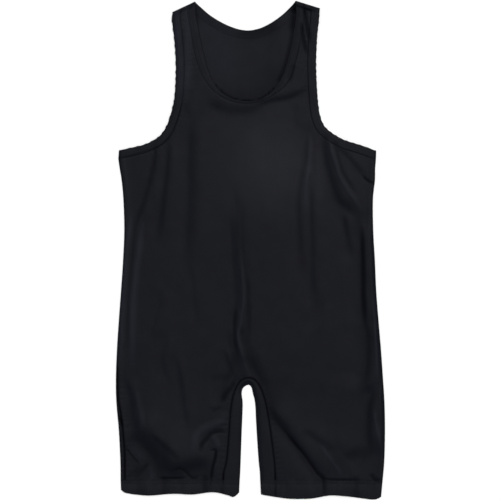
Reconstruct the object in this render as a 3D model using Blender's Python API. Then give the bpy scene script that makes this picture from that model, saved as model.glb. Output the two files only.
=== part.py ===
"""Wrestling singlet laid flat with its front up.

Tables are in millimetres and meshes in metres. +X is the wearer's left, +Y points to the
shoulders, +Z is up. The back lies on the surface at Z = 0 and the front lies on the back.
They meet at the side seams, the shoulders and the leg hems, SEAM_GAP apart. In the tables,
x is the distance from the middle and down is the distance below the top of the shoulders.
"""

import math
from collections import namedtuple

import bmesh
import bpy
import numpy as np
from mathutils import Vector
from mathutils.geometry import delaunay_2d_cdt

MM = 0.001

# Driving dimensions.
LENGTH = 760.0
WALL = 1.0
BAND_WALL = 1.5
BAND_WIDTH = 12.5
SEAM_GAP = 0.3
HEM_TOP = 731.5
STRAP_REACH = 40.0

# How the layers lie: the front's even lift off the back, the most that a ridge makes of it,
# the width over which it comes down at an edge, and the share of a fold that fades at its end.
LOFT = 1.5
MOST_LIFT = 3.1
EDGE_RISE = 16.0
FOLD_FADE = 0.2

# Mesh spacing.
EDGE_STEP = 10.0
BAND_STEP = 9.5
FRONT_GRID = (9.0, 17.0)
BACK_GRID = (14.0, 26.0)
GRID_MARGIN = 4.0
CURVE_STEPS = 12
FOLD_TURNS = 5
END_SHIFTS = (1, 2 / 3, 1 / 3)
SAME_LINE = 0.05
WELD = 1e-4

# Cloth colours and finish.
CLOTH = (0.0125, 0.013, 0.0165)
BINDING = (0.011, 0.0115, 0.0145)
ROUGHNESS = 0.75
SHEEN = 0.3
SHARP_ANGLE = 50.0

# Sizes worked out from the driving ones.
FRONT_REST = WALL + SEAM_GAP
BAND_REST = BAND_WALL + SEAM_GAP
ROLL = BAND_WALL + SEAM_GAP / 2
SHOULDER_AXIS = (BAND_REST + WALL) / 2

Sides = namedtuple("Sides", "down right left")
Strap = namedtuple("Strap", "neck_corner arm_corner turnover")
Gusset = namedtuple("Gusset", "seam_x seam_down fold_x fold_down")
Fold = namedtuple("Fold", "height reach path")

# The side seams, from below the armhole bands to the hems.
SIDE_SEAMS = (
    Sides(241, -201.4, 191.3),
    Sides(256, -199.2, 190.0),
    Sides(274, -196.3, 189.6),
    Sides(304, -193.6, 186.6),
    Sides(350, -192.3, 187.1),
    Sides(396, -194.2, 189.6),
    Sides(441, -197.2, 191.6),
    Sides(487, -200.6, 195.1),
    Sides(532, -203.5, 198.9),
    Sides(575, -205.0, 201.9),
    Sides(612, -204.3, 204.2),
    Sides(655, -200.6, 205.0),
    Sides(700, -198.3, 204.0),
    Sides(731.2, -197.8, 201.4),
)

# The top of each strap, as (x, down), and how far the back comes down its front.
RIGHT_STRAP = Strap(neck_corner=(-84.4, 1.2), arm_corner=(-119.4, 17.6), turnover=0.0)
LEFT_STRAP = Strap(neck_corner=(68.6, 0.0), arm_corner=(106.0, 11.6), turnover=5.5)

# Edges as (x, down), from the strap to the side or from the right strap to the left. A third
# value is how much of the band shows, where that isn't BAND_WIDTH: it rolls in at the scoop.
RIGHT_ARMHOLE = (
    (-119.4, 17.6), (-120.4, 25), (-118.9, 37), (-115.8, 63), (-113.8, 98), (-114.9, 136),
    (-118, 159), (-124.4, 182), (-130.6, 196), (-138, 205.5), (-148, 212.5), (-164.3, 219.9),
    (-200.4, 227.8),
)
LEFT_ARMHOLE = (
    (106.0, 11.6), (104.3, 31), (101.7, 54), (100, 93), (101, 128), (103.3, 159), (106.7, 178),
    (112.6, 191), (122, 200), (133.4, 207.4), (145.5, 213.2), (166.9, 219.8), (191.5, 228.2),
)
FRONT_NECK = (
    (-84.4, 1.2), (-83.3, 21), (-79, 43), (-72.5, 75, 13.5), (-64.5, 104, 12.5), (-54.5, 127, 8.5),
    (-43, 141, 4.8), (-27, 149.8, 3), (-7, 153.5, 2.5), (12, 151.2, 2.5), (25.5, 144.6, 3.5),
    (36.5, 134, 7), (45.2, 121, 11), (51.7, 105), (57.2, 86), (61.5, 68), (66.2, 42.5),
    (69.2, 20), (68.6, 0.0),
)
BACK_NECK = (
    (-84.4, 1.2), (-77, 8.6), (-64.8, 19.8), (-52.6, 28.2), (-40.4, 35), (-28, 40.4),
    (-14, 44.4), (0, 45.2), (14.5, 42), (27, 36.2), (39, 28.8), (51, 19.4), (61, 9.2), (68.6, 0.0),
)
RIGHT_HEM = (
    (-197.2, 746), (-187, 750.6), (-156, 753.8), (-118, 751.2), (-88, 752.2), (-57, 748.8),
    (-34, 753.6), (-26, 756), (-17.3, 750),
)
LEFT_HEM = (
    (16, 752.4), (39, 756.2), (62, 758.8), (92, 758.4), (121, 753.8), (145, 755), (168, 757.8),
    (188, 760), (199, 756.5),
)

# The strip between the legs, from the right hem over the crotch to the left hem.
INNER_LEG = (
    Gusset(-41.8, 731.2, -16.4, 731.2),
    Gusset(-40.6, 718, -15.6, 718),
    Gusset(-36.8, 703, -15.0, 703),
    Gusset(-34.3, 680, -14.2, 680),
    Gusset(-32.3, 652, -13.2, 652),
    Gusset(-30.6, 628, -12.2, 629),
    Gusset(-27.4, 606, -11.9, 612),
    Gusset(-21.6, 589, -13.4, 598),
    Gusset(-14.2, 578.4, -10.8, 589.5),
    Gusset(-5.3, 575.0, -3.2, 585.4),
    Gusset(3.8, 576.0, 1.4, 589),
    Gusset(11.0, 582.6, 3.6, 598),
    Gusset(17.2, 594, 6.2, 608),
    Gusset(22.6, 611, 7.6, 620),
    Gusset(26.6, 631, 8.3, 636),
    Gusset(30.2, 654, 9.4, 656),
    Gusset(33.6, 680, 11.0, 681),
    Gusset(36.4, 703, 12.6, 703),
    Gusset(37.4, 718, 14.2, 718),
    Gusset(37.8, 731.2, 14.8, 731.2),
)

# The largest folds of the front: ridges stand up, valleys (below zero) sink.
FRONT_FOLDS = (
    Fold(-1.6, 11, ((-146, 238), (-160, 295), (-178, 354), (-186, 430), (-190, 500), (-192, 578))),
    Fold(1.3, 10, ((-152, 330), (-169, 395), (-174, 470), (-175, 560))),
    Fold(-1.7, 10, ((-122, 224), (-124, 262), (-132, 300), (-143, 368))),
    Fold(1.5, 13, ((-136, 236), (-145, 290), (-158, 340))),
    Fold(1.4, 16, ((-105, 232), (-110, 300), (-114, 380))),
    Fold(-1.2, 18, ((-87, 223), (-92, 320), (-92, 400), (-83, 470), (-86, 515))),
    Fold(-1.9, 13, ((-29, 305), (-27, 365), (-18, 434), (-24, 505), (-20, 545), (-12, 562))),
    Fold(1.2, 9, ((-16, 334), (-12, 400), (-9, 440), (-16, 500), (-6, 560))),
    Fold(-1.5, 10, ((-12, 345), (-4, 455), (-9, 508), (4, 558), (14, 592))),
    Fold(1.9, 52, ((34, 205), (36, 250), (30, 310))),
    Fold(-1.5, 10, ((84, 214), (78, 275), (73, 312), (76, 375), (80, 425))),
    Fold(-1.4, 9, ((93, 250), (94, 320), (94, 400), (99, 462))),
    Fold(1.6, 11, ((104, 240), (107, 310), (110, 380))),
    Fold(-1.8, 13, ((114, 214), (121, 262), (133, 292), (158, 321), (174, 344))),
    Fold(1.5, 11, ((126, 224), (136, 262), (150, 292), (168, 314))),
    Fold(-1.3, 9, ((133, 222), (148, 264), (172, 306))),
    Fold(-2.2, 13, ((168, 350), (170, 420), (173, 480), (179, 530), (178, 570), (170, 592))),
    Fold(1.8, 9, ((186, 430), (190, 500), (192, 560), (188, 610))),
    Fold(-1.3, 9, ((188, 598), (182, 630), (183, 660), (189, 684))),
    Fold(-1.6, 10, ((-125, 506), (-131, 545), (-126, 575), (-117, 604))),
    Fold(1.3, 12, ((-112, 520), (-118, 560), (-108, 610))),
    Fold(-1.4, 11, ((-110, 545), (-103, 600), (-95, 648), (-88, 690))),
    Fold(-2.4, 32, ((-156, 668), (-136, 694), (-124, 716))),
    Fold(2.2, 14, ((-122, 650), (-104, 676), (-96, 706))),
    Fold(2.0, 12, ((-182, 640), (-184, 700), (-172, 742))),
    Fold(1.7, 12, ((-44, 636), (-66, 642), (-86, 660))),
    Fold(-1.6, 10, ((-42, 656), (-60, 662), (-72, 676), (-76, 700))),
    Fold(1.9, 13, ((28, 640), (48, 676), (62, 712), (66, 748))),
    Fold(-2.3, 11, ((36, 634), (58, 658), (84, 694), (108, 726), (112, 750))),
    Fold(1.8, 13, ((104, 680), (124, 704), (140, 738))),
    Fold(-2.0, 13, ((170, 672), (158, 690), (148, 722))),
    Fold(1.5, 14, ((158, 640), (186, 700), (190, 742))),
    Fold(-1.2, 8, ((110, 480), (96, 500), (82, 518))),
    Fold(-1.4, 13, ((-48, 152), (-10, 172), (30, 164), (70, 142))),
    Fold(1.2, 14, ((-108, 40), (-104, 110), (-106, 160))),
    Fold(-1.0, 10, ((-90, 150), (-84, 176))),
)

# Where the back has drawn up off the surface.
BACK_FOLDS = (
    Fold(1.5, 22, ((-120, 250), (-150, 340), (-158, 450))),
    Fold(1.3, 20, ((-40, 200), (-30, 320), (-44, 430))),
    Fold(1.6, 22, ((96, 240), (78, 350), (88, 470))),
    Fold(1.4, 20, ((150, 300), (158, 420), (150, 540))),
    Fold(1.5, 20, ((-60, 520), (-104, 600), (-128, 690))),
    Fold(1.4, 20, ((50, 560), (84, 640), (110, 710))),
)


def plan(x, down):
    """A point of the tables as (x, y), in millimetres."""
    return np.array([x, LENGTH / 2 - down], float)


def plan_path(points):
    return np.array([plan(x, down) for x, down in points])


def smooth_path(points, spacing):
    """Evenly spaced points on a smooth curve through the given ones."""
    knots = np.asarray(points, float)
    padded = np.vstack([2 * knots[0] - knots[1], knots, 2 * knots[-1] - knots[-2]])
    t = np.linspace(0, 1, CURVE_STEPS, endpoint=False)[:, None]
    spans = []
    for a, b, c, d in zip(padded, padded[1:], padded[2:], padded[3:]):
        curve = 2 * b + (c - a) * t
        curve = curve + (2 * a - 5 * b + 4 * c - d) * t**2
        curve = curve + (3 * b - a - 3 * c + d) * t**3
        spans.append(curve / 2)
    dense = np.vstack(spans + [knots[-1:]])
    run = np.append(0, np.cumsum(np.linalg.norm(np.diff(dense[:, :2], axis=0), axis=1)))
    at = np.linspace(0, run[-1], max(2, round(run[-1] / spacing) + 1))
    return np.column_stack([np.interp(at, run, column) for column in dense.T])


def offset_path(path, distance):
    """The path moved sideways, to its left where distance is above zero."""
    along = np.gradient(path, axis=0)
    along /= np.linalg.norm(along, axis=1)[:, None]
    return path + distance * np.column_stack([-along[:, 1], along[:, 0]])


def lean_ends(path, start, end):
    """The path with its ends moved to the given points and its next points after them."""
    moved = path.copy()
    for k, share in enumerate(END_SHIFTS):
        moved[k] += share * (start - path[0])
        moved[-1 - k] += share * (end - path[-1])
    return moved


def path_distance(points, path):
    """Each point's distance to a path, and how far along the path that is, 0 to 1."""
    nearest = np.full(len(points), np.inf)
    along = np.zeros(len(points))
    lengths = np.linalg.norm(np.diff(path, axis=0), axis=1)
    run = np.append(0, np.cumsum(lengths))
    for a, b, start, length in zip(path, path[1:], run, lengths):
        t = np.clip((points - a) @ (b - a) / length**2, 0, 1)
        gap = np.linalg.norm(points - (a + t[:, None] * (b - a)), axis=1)
        closer = gap < nearest
        nearest[closer] = gap[closer]
        along[closer] = (start + t[closer] * length) / run[-1]
    return nearest, along


def ease(t):
    """0 to 1, level at both ends."""
    t = np.clip(t, 0, 1)
    return t * t * (3 - 2 * t)


class StrapTop:
    """The lines across the top of one strap, where bands and back turn to the front."""

    def __init__(self, strap):
        neck = plan(*strap.neck_corner)
        arm = plan(*strap.arm_corner)
        along = (arm - neck) / np.linalg.norm(arm - neck)
        band = along * BAND_WIDTH / abs(along[0])
        gap = along * SEAM_GAP
        self.corner = neck
        self.outward = np.array([-along[1], along[0]]) * math.copysign(1, along[0])
        inset = self.outward * ROLL
        self.neck_band = (neck - inset, neck + band - inset)
        self.arm_band = (arm - inset, arm - band - inset)
        inset = self.outward * SHOULDER_AXIS
        self.panel = (neck + band + gap - inset, arm - band - gap - inset)
        self.turnover = strap.turnover

    def depth(self, points):
        return (self.corner - points) @ self.outward

    def cross(self, path, depth):
        """Where a seam line passes a depth below the strap's top."""
        depths = self.depth(path)
        near = path[depths < STRAP_REACH]
        near = near[np.argsort(self.depth(near))]
        return np.array([np.interp(depth, self.depth(near), column) for column in near.T])

    def front_end(self, neck_seam, arm_seam, gap):
        """The neck and arm corners of the shoulder seam, gap below the turned back."""
        depth = SHOULDER_AXIS + self.turnover + gap
        return self.cross(neck_seam, depth), self.cross(arm_seam, depth)


def side_path(column):
    return plan_path([(getattr(row, column), row.down) for row in SIDE_SEAMS])


RIGHT_TOP = StrapTop(RIGHT_STRAP)
LEFT_TOP = StrapTop(LEFT_STRAP)
RIGHT_SIDE = smooth_path(side_path("right"), EDGE_STEP)
LEFT_SIDE = smooth_path(side_path("left"), EDGE_STEP)


def band_lines(edge, side, start, end):
    """A band's free edge and its seam line, point for point, between two end lines."""
    rows = [(*plan(x, down), *(width or (BAND_WIDTH,))) for x, down, *width in edge]
    free, width = np.split(smooth_path(rows, BAND_STEP), [2], axis=1)
    seam = offset_path(free, side * width)
    return lean_ends(free, start[0], end[0]), lean_ends(seam, start[1], end[1])


def armhole_lines(edge, top, side, outward):
    corner = plan(*edge[-1])
    inset = np.array([outward * ROLL, 0])
    side_end = (corner - inset, side[0] + np.array([0, SEAM_GAP]) - inset)
    return band_lines(edge, -outward, top.arm_band, side_end)


NECK_FRONT_LINES = band_lines(FRONT_NECK, -1, RIGHT_TOP.neck_band, LEFT_TOP.neck_band)
NECK_BACK_LINES = band_lines(BACK_NECK, -1, RIGHT_TOP.neck_band, LEFT_TOP.neck_band)
RIGHT_ARM_LINES = armhole_lines(RIGHT_ARMHOLE, RIGHT_TOP, RIGHT_SIDE, -1)
LEFT_ARM_LINES = armhole_lines(LEFT_ARMHOLE, LEFT_TOP, LEFT_SIDE, 1)
GUSSET_ROWS = smooth_path(
    [(*plan(row.seam_x, row.seam_down), *plan(row.fold_x, row.fold_down)) for row in INNER_LEG],
    EDGE_STEP,
)
GUSSET_SEAM = GUSSET_ROWS[:, :2]
INNER_FOLD = GUSSET_ROWS[:, 2:]
TIED_EDGES = (
    RIGHT_SIDE, LEFT_SIDE, INNER_FOLD, NECK_FRONT_LINES[0], RIGHT_ARM_LINES[0], LEFT_ARM_LINES[0],
    np.array([RIGHT_TOP.neck_band[0], RIGHT_TOP.arm_band[0]]),
    np.array([LEFT_TOP.neck_band[0], LEFT_TOP.arm_band[0]]),
)
CLOSED_SEAMS = (RIGHT_SIDE, LEFT_SIDE, INNER_FOLD)


def edge_distance(points, paths):
    return np.min([path_distance(points, path)[0] for path in paths], axis=0)


def fold_height(points, folds):
    """Sum of the ridges and valleys, each round in section and fading at both ends."""
    height = np.zeros(len(points))
    for fold in folds:
        gap, along = path_distance(points, plan_path(fold.path))
        fade = ease(along / FOLD_FADE) * ease((1 - along) / FOLD_FADE)
        across = np.clip(1 - (gap / fold.reach) ** 2, 0, 1) ** 2
        height += fold.height * fade * across
    return height


def back_height(points):
    """Underside of the back: flat on the surface apart from a few drawn-up folds."""
    tied = ease(edge_distance(points, TIED_EDGES) / (2 * EDGE_RISE))
    return tied * np.clip(fold_height(points, BACK_FOLDS), 0, None)


def front_lift(points):
    """How far the front stands off the back, over the seam gap."""
    tied = ease(edge_distance(points, TIED_EDGES) / EDGE_RISE)
    lift = LOFT + fold_height(points, FRONT_FOLDS)
    return back_height(points) + tied * np.clip(lift, 0, MOST_LIFT)


def front_height(points):
    """Underside of the front panel. It comes down to the back at the closed seams."""
    open_share = ease(edge_distance(points, CLOSED_SEAMS) / EDGE_RISE)
    return FRONT_REST + (BAND_REST - FRONT_REST) * open_share + front_lift(points)


def straight(start, end, spacing=EDGE_STEP):
    count = max(2, round(np.linalg.norm(end - start) / spacing) + 1)
    return np.linspace(start, end, count)


def seam_edges(neck_lines):
    """The panel's own edges along the neck, right armhole and left armhole bands."""
    neck = offset_path(neck_lines[1], -SEAM_GAP)
    right_arm = offset_path(RIGHT_ARM_LINES[1], SEAM_GAP)
    left_arm = offset_path(LEFT_ARM_LINES[1], -SEAM_GAP)
    return neck, right_arm, left_arm


def below(path, top, end):
    """The points of a seam line that lie below the corners of a strap's end."""
    return path[top.depth(path) > max(top.depth(end[0]), top.depth(end[1])) + GRID_MARGIN]


def panel_outline(neck_lines, right_end, left_end):
    """Counterclockwise edge of a body panel, from the end of the right strap."""
    neck, right_arm, left_arm = seam_edges(neck_lines)
    right_arm = below(right_arm, RIGHT_TOP, right_end)
    left_arm = below(left_arm, LEFT_TOP, left_end)
    neck = below(below(neck, RIGHT_TOP, right_end), LEFT_TOP, left_end)
    gusset = offset_path(GUSSET_SEAM, SEAM_GAP)
    gusset[0, 1] = gusset[-1, 1] = LENGTH / 2 - HEM_TOP + SEAM_GAP
    runs = (
        right_end,
        right_arm,
        RIGHT_SIDE[:-1],
        straight(RIGHT_SIDE[-1], gusset[0]),
        gusset[1:-1],
        straight(gusset[-1], LEFT_SIDE[-1]),
        LEFT_SIDE[-2::-1],
        left_arm[::-1],
        left_end[::-1],
        neck[::-1],
    )
    return np.vstack(runs)


def inside(points, outline):
    """Which points lie inside a closed outline."""
    found = np.zeros(len(points), bool)
    for (ax, ay), (bx, by) in zip(outline, np.roll(outline, -1, axis=0)):
        spans = (ay > points[:, 1]) != (by > points[:, 1])
        if spans.any():
            crossing = ax + (points[:, 1] - ay) * (bx - ax) / (by - ay + 1e-12)
            found ^= spans & (points[:, 0] < crossing)
    return found


def cut_sheet(outline, grid):
    """A flat triangulated sheet inside the outline, on a staggered grid."""
    low, high = outline.min(axis=0), outline.max(axis=0)
    rows = np.arange(low[1], high[1], grid[1])
    columns = np.arange(low[0], high[0], grid[0])
    spots = [(x + grid[0] / 2 * (k % 2), y) for k, y in enumerate(rows) for x in columns]
    spots = np.array(spots)
    spots = spots[inside(spots, outline)]
    ring = np.vstack([outline, outline[:1]])
    spots = spots[path_distance(spots, ring)[0] > GRID_MARGIN]
    points = [Vector(point) for point in np.vstack([outline, spots])]
    face = [list(range(len(outline)))]
    found = delaunay_2d_cdt(points, [], face, 1, WELD)
    return np.array([tuple(point) for point in found[0]]), found[2]


def add_piece(name, shell, colour):
    """Makes a closed object of a bmesh in millimetres."""
    bmesh.ops.recalc_face_normals(shell, faces=shell.faces)
    bmesh.ops.scale(shell, vec=(MM, MM, MM), verts=shell.verts)
    mesh = bpy.data.meshes.new(name)
    shell.to_mesh(mesh)
    shell.free()
    mesh.shade_smooth()
    mesh.set_sharp_from_angle(angle=math.radians(SHARP_ANGLE))
    material = bpy.data.materials.new(name)
    material.use_nodes = True
    shader = material.node_tree.nodes["Principled BSDF"]
    shader.inputs["Base Color"].default_value = (*colour, 1)
    shader.inputs["Roughness"].default_value = ROUGHNESS
    shader.inputs["Sheen Weight"].default_value = SHEEN
    mesh.materials.append(material)
    piece = bpy.data.objects.new(name, mesh)
    bpy.context.scene.collection.objects.link(piece)
    return piece


def body_panel(outline, grid, underside):
    """A cloth wall cut to the outline, standing WALL thick on its underside."""
    flat, triangles = cut_sheet(outline, grid)
    height = underside(flat)
    shell = bmesh.new()
    spots = [shell.verts.new((x, y, z)) for (x, y), z in zip(flat, height)]
    faces = [shell.faces.new([spots[k] for k in triangle]) for triangle in triangles]
    raised = bmesh.ops.extrude_face_region(shell, geom=faces, use_keep_orig=True)
    moved = [item for item in raised["geom"] if isinstance(item, bmesh.types.BMVert)]
    bmesh.ops.translate(shell, vec=(0, 0, WALL), verts=moved)
    return shell


def turn_over_shoulder(shell, top, far_end):
    """Carries the back over a strap's top and, if far_end is given, down its front."""
    line = np.array(top.panel)
    ends = []
    for face in shell.faces:
        spots = np.array([vert.co[:2] for vert in face.verts])
        if len(spots) == 4 and (path_distance(spots, line)[0] < SAME_LINE).all():
            ends.append(face)
    start = {vert: vert.co.copy() for face in ends for vert in face.verts}
    steps = [math.pi * (k + 1) / FOLD_TURNS for k in range(FOLD_TURNS)]
    for angle in steps + ([None] if far_end else []):
        old = [vert for face in ends for vert in face.verts]
        made = bmesh.ops.extrude_face_region(shell, geom=ends)["geom"]
        for vert in [item for item in made if isinstance(item, bmesh.types.BMVert)]:
            first = start[min(old, key=lambda other: (other.co - vert.co).length)]
            start[vert] = first
        for vert in [item for item in made if isinstance(item, bmesh.types.BMVert)]:
            first = start[vert]
            if angle is None:
                share = path_distance(np.array([first[:2]]), line)[1][0]
                vert.co.xy = far_end[0] + share * (far_end[1] - far_end[0])
            else:
                radius = SHOULDER_AXIS - first.z
                vert.co.xy = np.array(first[:2]) + top.outward * radius * math.sin(angle)
                vert.co.z = SHOULDER_AXIS - radius * math.cos(angle)
        bmesh.ops.delete(shell, geom=ends, context="FACES_ONLY")
        ends = [item for item in made if isinstance(item, bmesh.types.BMFace)]


def join_sections(shell, sections, closed):
    """Skins matching closed sections, in a ring or with a cap at each end."""
    loops = [[shell.verts.new(spot) for spot in section] for section in sections]
    pairs = list(zip(loops, loops[1:]))
    if closed:
        pairs.append((loops[-1], loops[0]))
    else:
        shell.faces.new(loops[0])
        shell.faces.new(loops[-1])
    for near, far in pairs:
        for k in range(len(near)):
            after = (k + 1) % len(near)
            shell.faces.new((near[k], near[after], far[after], far[k]))


def strip_section(ends, outer, inner):
    """A band's section from its free edge to its seam, with one point between them."""
    spots = [ends[0], (ends[0] + ends[1]) / 2, ends[1]]
    over = [(*spot, z) for spot, z in zip(spots, outer)]
    under = [(*spot, z) for spot, z in zip(spots, inner)]
    return over + under[::-1]


def front_sections(free, seam):
    """Sections of a band's front half, lifted as the cloth beside it is."""
    middle = (free + seam) / 2
    rest = [BAND_REST + front_lift(points) for points in (free, middle, seam)]
    for ends, *inner in zip(zip(free, seam), *rest):
        yield strip_section(ends, [z + BAND_WALL for z in inner], inner)


def back_sections(free, seam):
    for ends in zip(free, seam):
        yield strip_section(ends, [0.0] * 3, [BAND_WALL] * 3)


def turned_sections(ends, outward, angles):
    """Sections where a band turns from the front layer to the back layer."""
    for angle in angles:
        out = outward * math.sin(angle)
        over = [spot + ROLL * out for spot in ends]
        under = [spot + (ROLL - BAND_WALL) * out for spot in ends]
        top = ROLL + ROLL * math.cos(angle)
        low = ROLL + (ROLL - BAND_WALL) * math.cos(angle)
        spots = [over[0], (over[0] + over[1]) / 2, over[1]]
        inner = [under[0], (under[0] + under[1]) / 2, under[1]]
        yield [(*spot, top) for spot in spots] + [(*spot, low) for spot in inner[::-1]]


def ring_band(name, front, back, start_out, end_out):
    """A flattened ring: front half, turn at its far end, back half, turn at its start."""
    angles = [math.pi * k / FOLD_TURNS for k in range(1, FOLD_TURNS)]
    sections = list(front_sections(*front))
    far = (front[0][-1], front[1][-1])
    near = (front[0][0], front[1][0])
    sections += turned_sections(far, end_out, angles)
    sections += back_sections(back[0][::-1], back[1][::-1])
    sections += turned_sections(near, start_out, angles[::-1])
    shell = bmesh.new()
    join_sections(shell, sections, closed=True)
    return add_piece(name, shell, BINDING)


def leg_hem(name, bottom, inner_x, outer_x):
    """The turned hem round one leg, between the ends of its inner leg fold and its side seam."""
    top = LENGTH / 2 - HEM_TOP
    out = math.copysign(1, outer_x)
    low = smooth_path(plan_path(bottom), BAND_STEP)
    if abs(low[0][0]) > abs(low[-1][0]):
        low = low[::-1]
    low[0][0] += out * ROLL
    low[-1][0] -= out * ROLL
    seam_x = np.interp(
        np.linspace(0, 1, len(low)), [0, 1], [inner_x + out * ROLL, outer_x - out * ROLL]
    )
    seam = np.column_stack([seam_x, np.full(len(low), top)])
    outward = np.array([out, 0.0])
    return ring_band(name, (low, seam), (low, seam), -outward, outward)


def gusset_section(seam, fold, heights):
    """One C-shaped section of the folded strip, open towards the panels."""
    width = np.linalg.norm(seam - fold)
    inward = (seam - fold) / width
    middle = (seam + fold) / 2
    web = fold + inward * WALL
    corner = fold + inward * WALL / 2
    seam_z, middle_z, web_z = heights
    outside = [
        (*seam, seam_z + WALL), (*middle, middle_z + WALL), (*corner, web_z + WALL),
        (*fold, web_z + WALL / 2), (*fold, WALL / 2), (*corner, 0.0), (*middle, 0.0), (*seam, 0.0),
    ]
    cleft = [
        (*seam, WALL), (*middle, WALL), (*web, WALL),
        (*web, web_z), (*middle, middle_z), (*seam, seam_z),
    ]
    return outside + cleft


def inner_leg_strip():
    seam, fold = GUSSET_SEAM, INNER_FOLD
    spots = (seam, (seam + fold) / 2, fold)
    heights = [front_height(points) for points in spots]
    shell = bmesh.new()
    sections = [gusset_section(*row) for row in zip(seam, fold, zip(*heights))]
    join_sections(shell, sections, closed=False)
    return add_piece("inner_leg_gusset", shell, CLOTH)


def build():
    for thing in list(bpy.data.objects):
        bpy.data.objects.remove(thing, do_unlink=True)

    neck, right_arm, left_arm = seam_edges(NECK_FRONT_LINES)
    right_end = RIGHT_TOP.front_end(neck, right_arm, SEAM_GAP)
    left_end = LEFT_TOP.front_end(neck, left_arm, SEAM_GAP)
    front_edge = panel_outline(NECK_FRONT_LINES, right_end, left_end)
    add_piece("front_panel", body_panel(front_edge, FRONT_GRID, front_height), CLOTH)
    back_edge = panel_outline(NECK_BACK_LINES, RIGHT_TOP.panel, LEFT_TOP.panel)
    back = body_panel(back_edge, BACK_GRID, back_height)
    turn_over_shoulder(back, RIGHT_TOP, None)
    turn_over_shoulder(back, LEFT_TOP, LEFT_TOP.front_end(neck, left_arm, 0))
    add_piece("back_panel", back, CLOTH)
    inner_leg_strip()
    ring_band(
        "neck_band", NECK_FRONT_LINES, NECK_BACK_LINES, RIGHT_TOP.outward, LEFT_TOP.outward
    )
    across = np.array([1.0, 0.0])
    ring_band(
        "armhole_band_right", RIGHT_ARM_LINES, RIGHT_ARM_LINES, RIGHT_TOP.outward, -across
    )
    ring_band("armhole_band_left", LEFT_ARM_LINES, LEFT_ARM_LINES, LEFT_TOP.outward, across)
    leg_hem("leg_hem_right", RIGHT_HEM, INNER_LEG[0].fold_x, SIDE_SEAMS[-1].right)
    leg_hem("leg_hem_left", LEFT_HEM, INNER_LEG[-1].fold_x, SIDE_SEAMS[-1].left)


build()
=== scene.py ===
"""Dresses the wrestling singlet in fine knit cloth, bindings, hems, stitching and finishes.

Tables are in millimetres as (x, down): x is the distance from the middle, above zero on the
wearer's left, and down is the distance below the top of the shoulders. Meshes are in metres.
"""

import math
from collections import namedtuple

import bpy
import numpy as np
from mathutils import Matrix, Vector, noise
from mathutils.geometry import delaunay_2d_cdt
from mathutils.kdtree import KDTree


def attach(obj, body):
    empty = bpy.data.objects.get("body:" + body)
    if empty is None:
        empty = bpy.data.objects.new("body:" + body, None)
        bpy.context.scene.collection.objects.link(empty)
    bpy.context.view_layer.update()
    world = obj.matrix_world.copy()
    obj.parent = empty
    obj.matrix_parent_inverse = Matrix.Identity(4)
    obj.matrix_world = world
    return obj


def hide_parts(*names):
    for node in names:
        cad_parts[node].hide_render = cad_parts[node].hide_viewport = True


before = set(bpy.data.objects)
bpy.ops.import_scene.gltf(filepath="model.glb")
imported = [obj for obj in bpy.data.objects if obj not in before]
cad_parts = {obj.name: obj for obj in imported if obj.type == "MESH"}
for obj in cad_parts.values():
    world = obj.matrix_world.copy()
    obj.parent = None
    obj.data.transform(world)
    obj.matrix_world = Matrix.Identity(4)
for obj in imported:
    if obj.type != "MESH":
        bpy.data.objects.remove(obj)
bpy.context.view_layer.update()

MM = 0.001

# The cut.
LENGTH = 760.0
BAND_WIDTH = 12.5
HEM_TOP = 731.5
SEAM_LAP = 0.4

# Thickness of one layer of knit and of a folded binding, and the air between front and back.
CLOTH = 0.8
BAND = 1.4
LAYER_GAP = 0.3
CLOSED_REST = CLOTH + LAYER_GAP
BAND_REST = BAND + LAYER_GAP
ROLL = BAND + LAYER_GAP / 2
SHOULDER_AXIS = (BAND_REST + CLOTH) / 2
SHOULDER_TURN = math.pi * (SHOULDER_AXIS - CLOTH / 2)
STRAP_REACH = 40.0
ACROSS = np.array([1.0, 0.0])

# How the front lies: its lift off the back in the middle and near the sides, and the way between
# them. SOFT_FLOOR keeps a valley off the back, EDGE_RISE is how far from a closed edge the cloth
# comes down, OPEN_SHARE is how much of the lift an open edge keeps, and BACK_SHARE is how much of
# it the back can draw up under it.
LOFT = 1.3
SIDE_LOFT = 0.35
LOFT_RISE = 60.0
SOFT_FLOOR = 0.4
EDGE_RISE = 7.0
OPEN_SHARE = 0.6
BACK_SHARE = 0.8

# Creases: the shares of a path over which they rise and fade, how much they widen along it, the
# section of a bank, the width of the painted shade in them, and the limits of the painted shade
# and painted highlight, darker in the neck's corners.
CREASE_START = 0.22
CREASE_END = 0.3
NARROW_START = 0.85
WIDE_END = 1.15
BANK_SCALE = 4.2
BANK_STEEP = 0.75
BANK_RUN = 3.2
SHADE_SHARE = 0.55
DARKEST = 0.6
DARKEST_CORNER = 0.9
LIGHTEST = -1.3

# Edges and seams: the springy rim at the sides, the roll of a closed edge and what is left of the
# cloth's thickness there, the ditch of a seam and its puckers, and the painted shade along the
# inner leg seam.
RIM_HEIGHT = 1.6
RIM_REACH = 13.0
EDGE_ROLL = 2.4
EDGE_WALL = 0.15
SIDE_SPLIT = 0.2
DITCH_WIDTH = 2.4
GUSSET_DITCH = 0.5
GUSSET_SHADE = 0.6
GUSSET_SHADE_WIDTH = 1.2
PUCKER_PITCH = 7.5
PUCKER_DRIFT = 1.4
PUCKER_CHANGE = 40.0
PUCKER_SEED = 0.5
PUCKER_DEPTH = 0.1
PUCKER_LEAST = 0.4
PUCKER_SPREAD = 1.6
PUCKER_REACH = 9.0

# Bindings and hems: how far their outside drops to the seam, and the scallops of a free edge.
BAND_DROP = 0.25
HEM_DROP = 0.1
SCALLOP_CHANGE = 30.0
SCALLOP_SEED = 2.5
SCALLOP_LEAST = 0.5
SCALLOP_SPREAD = 2.0
SCALLOP_FADE = 20.0

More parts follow.
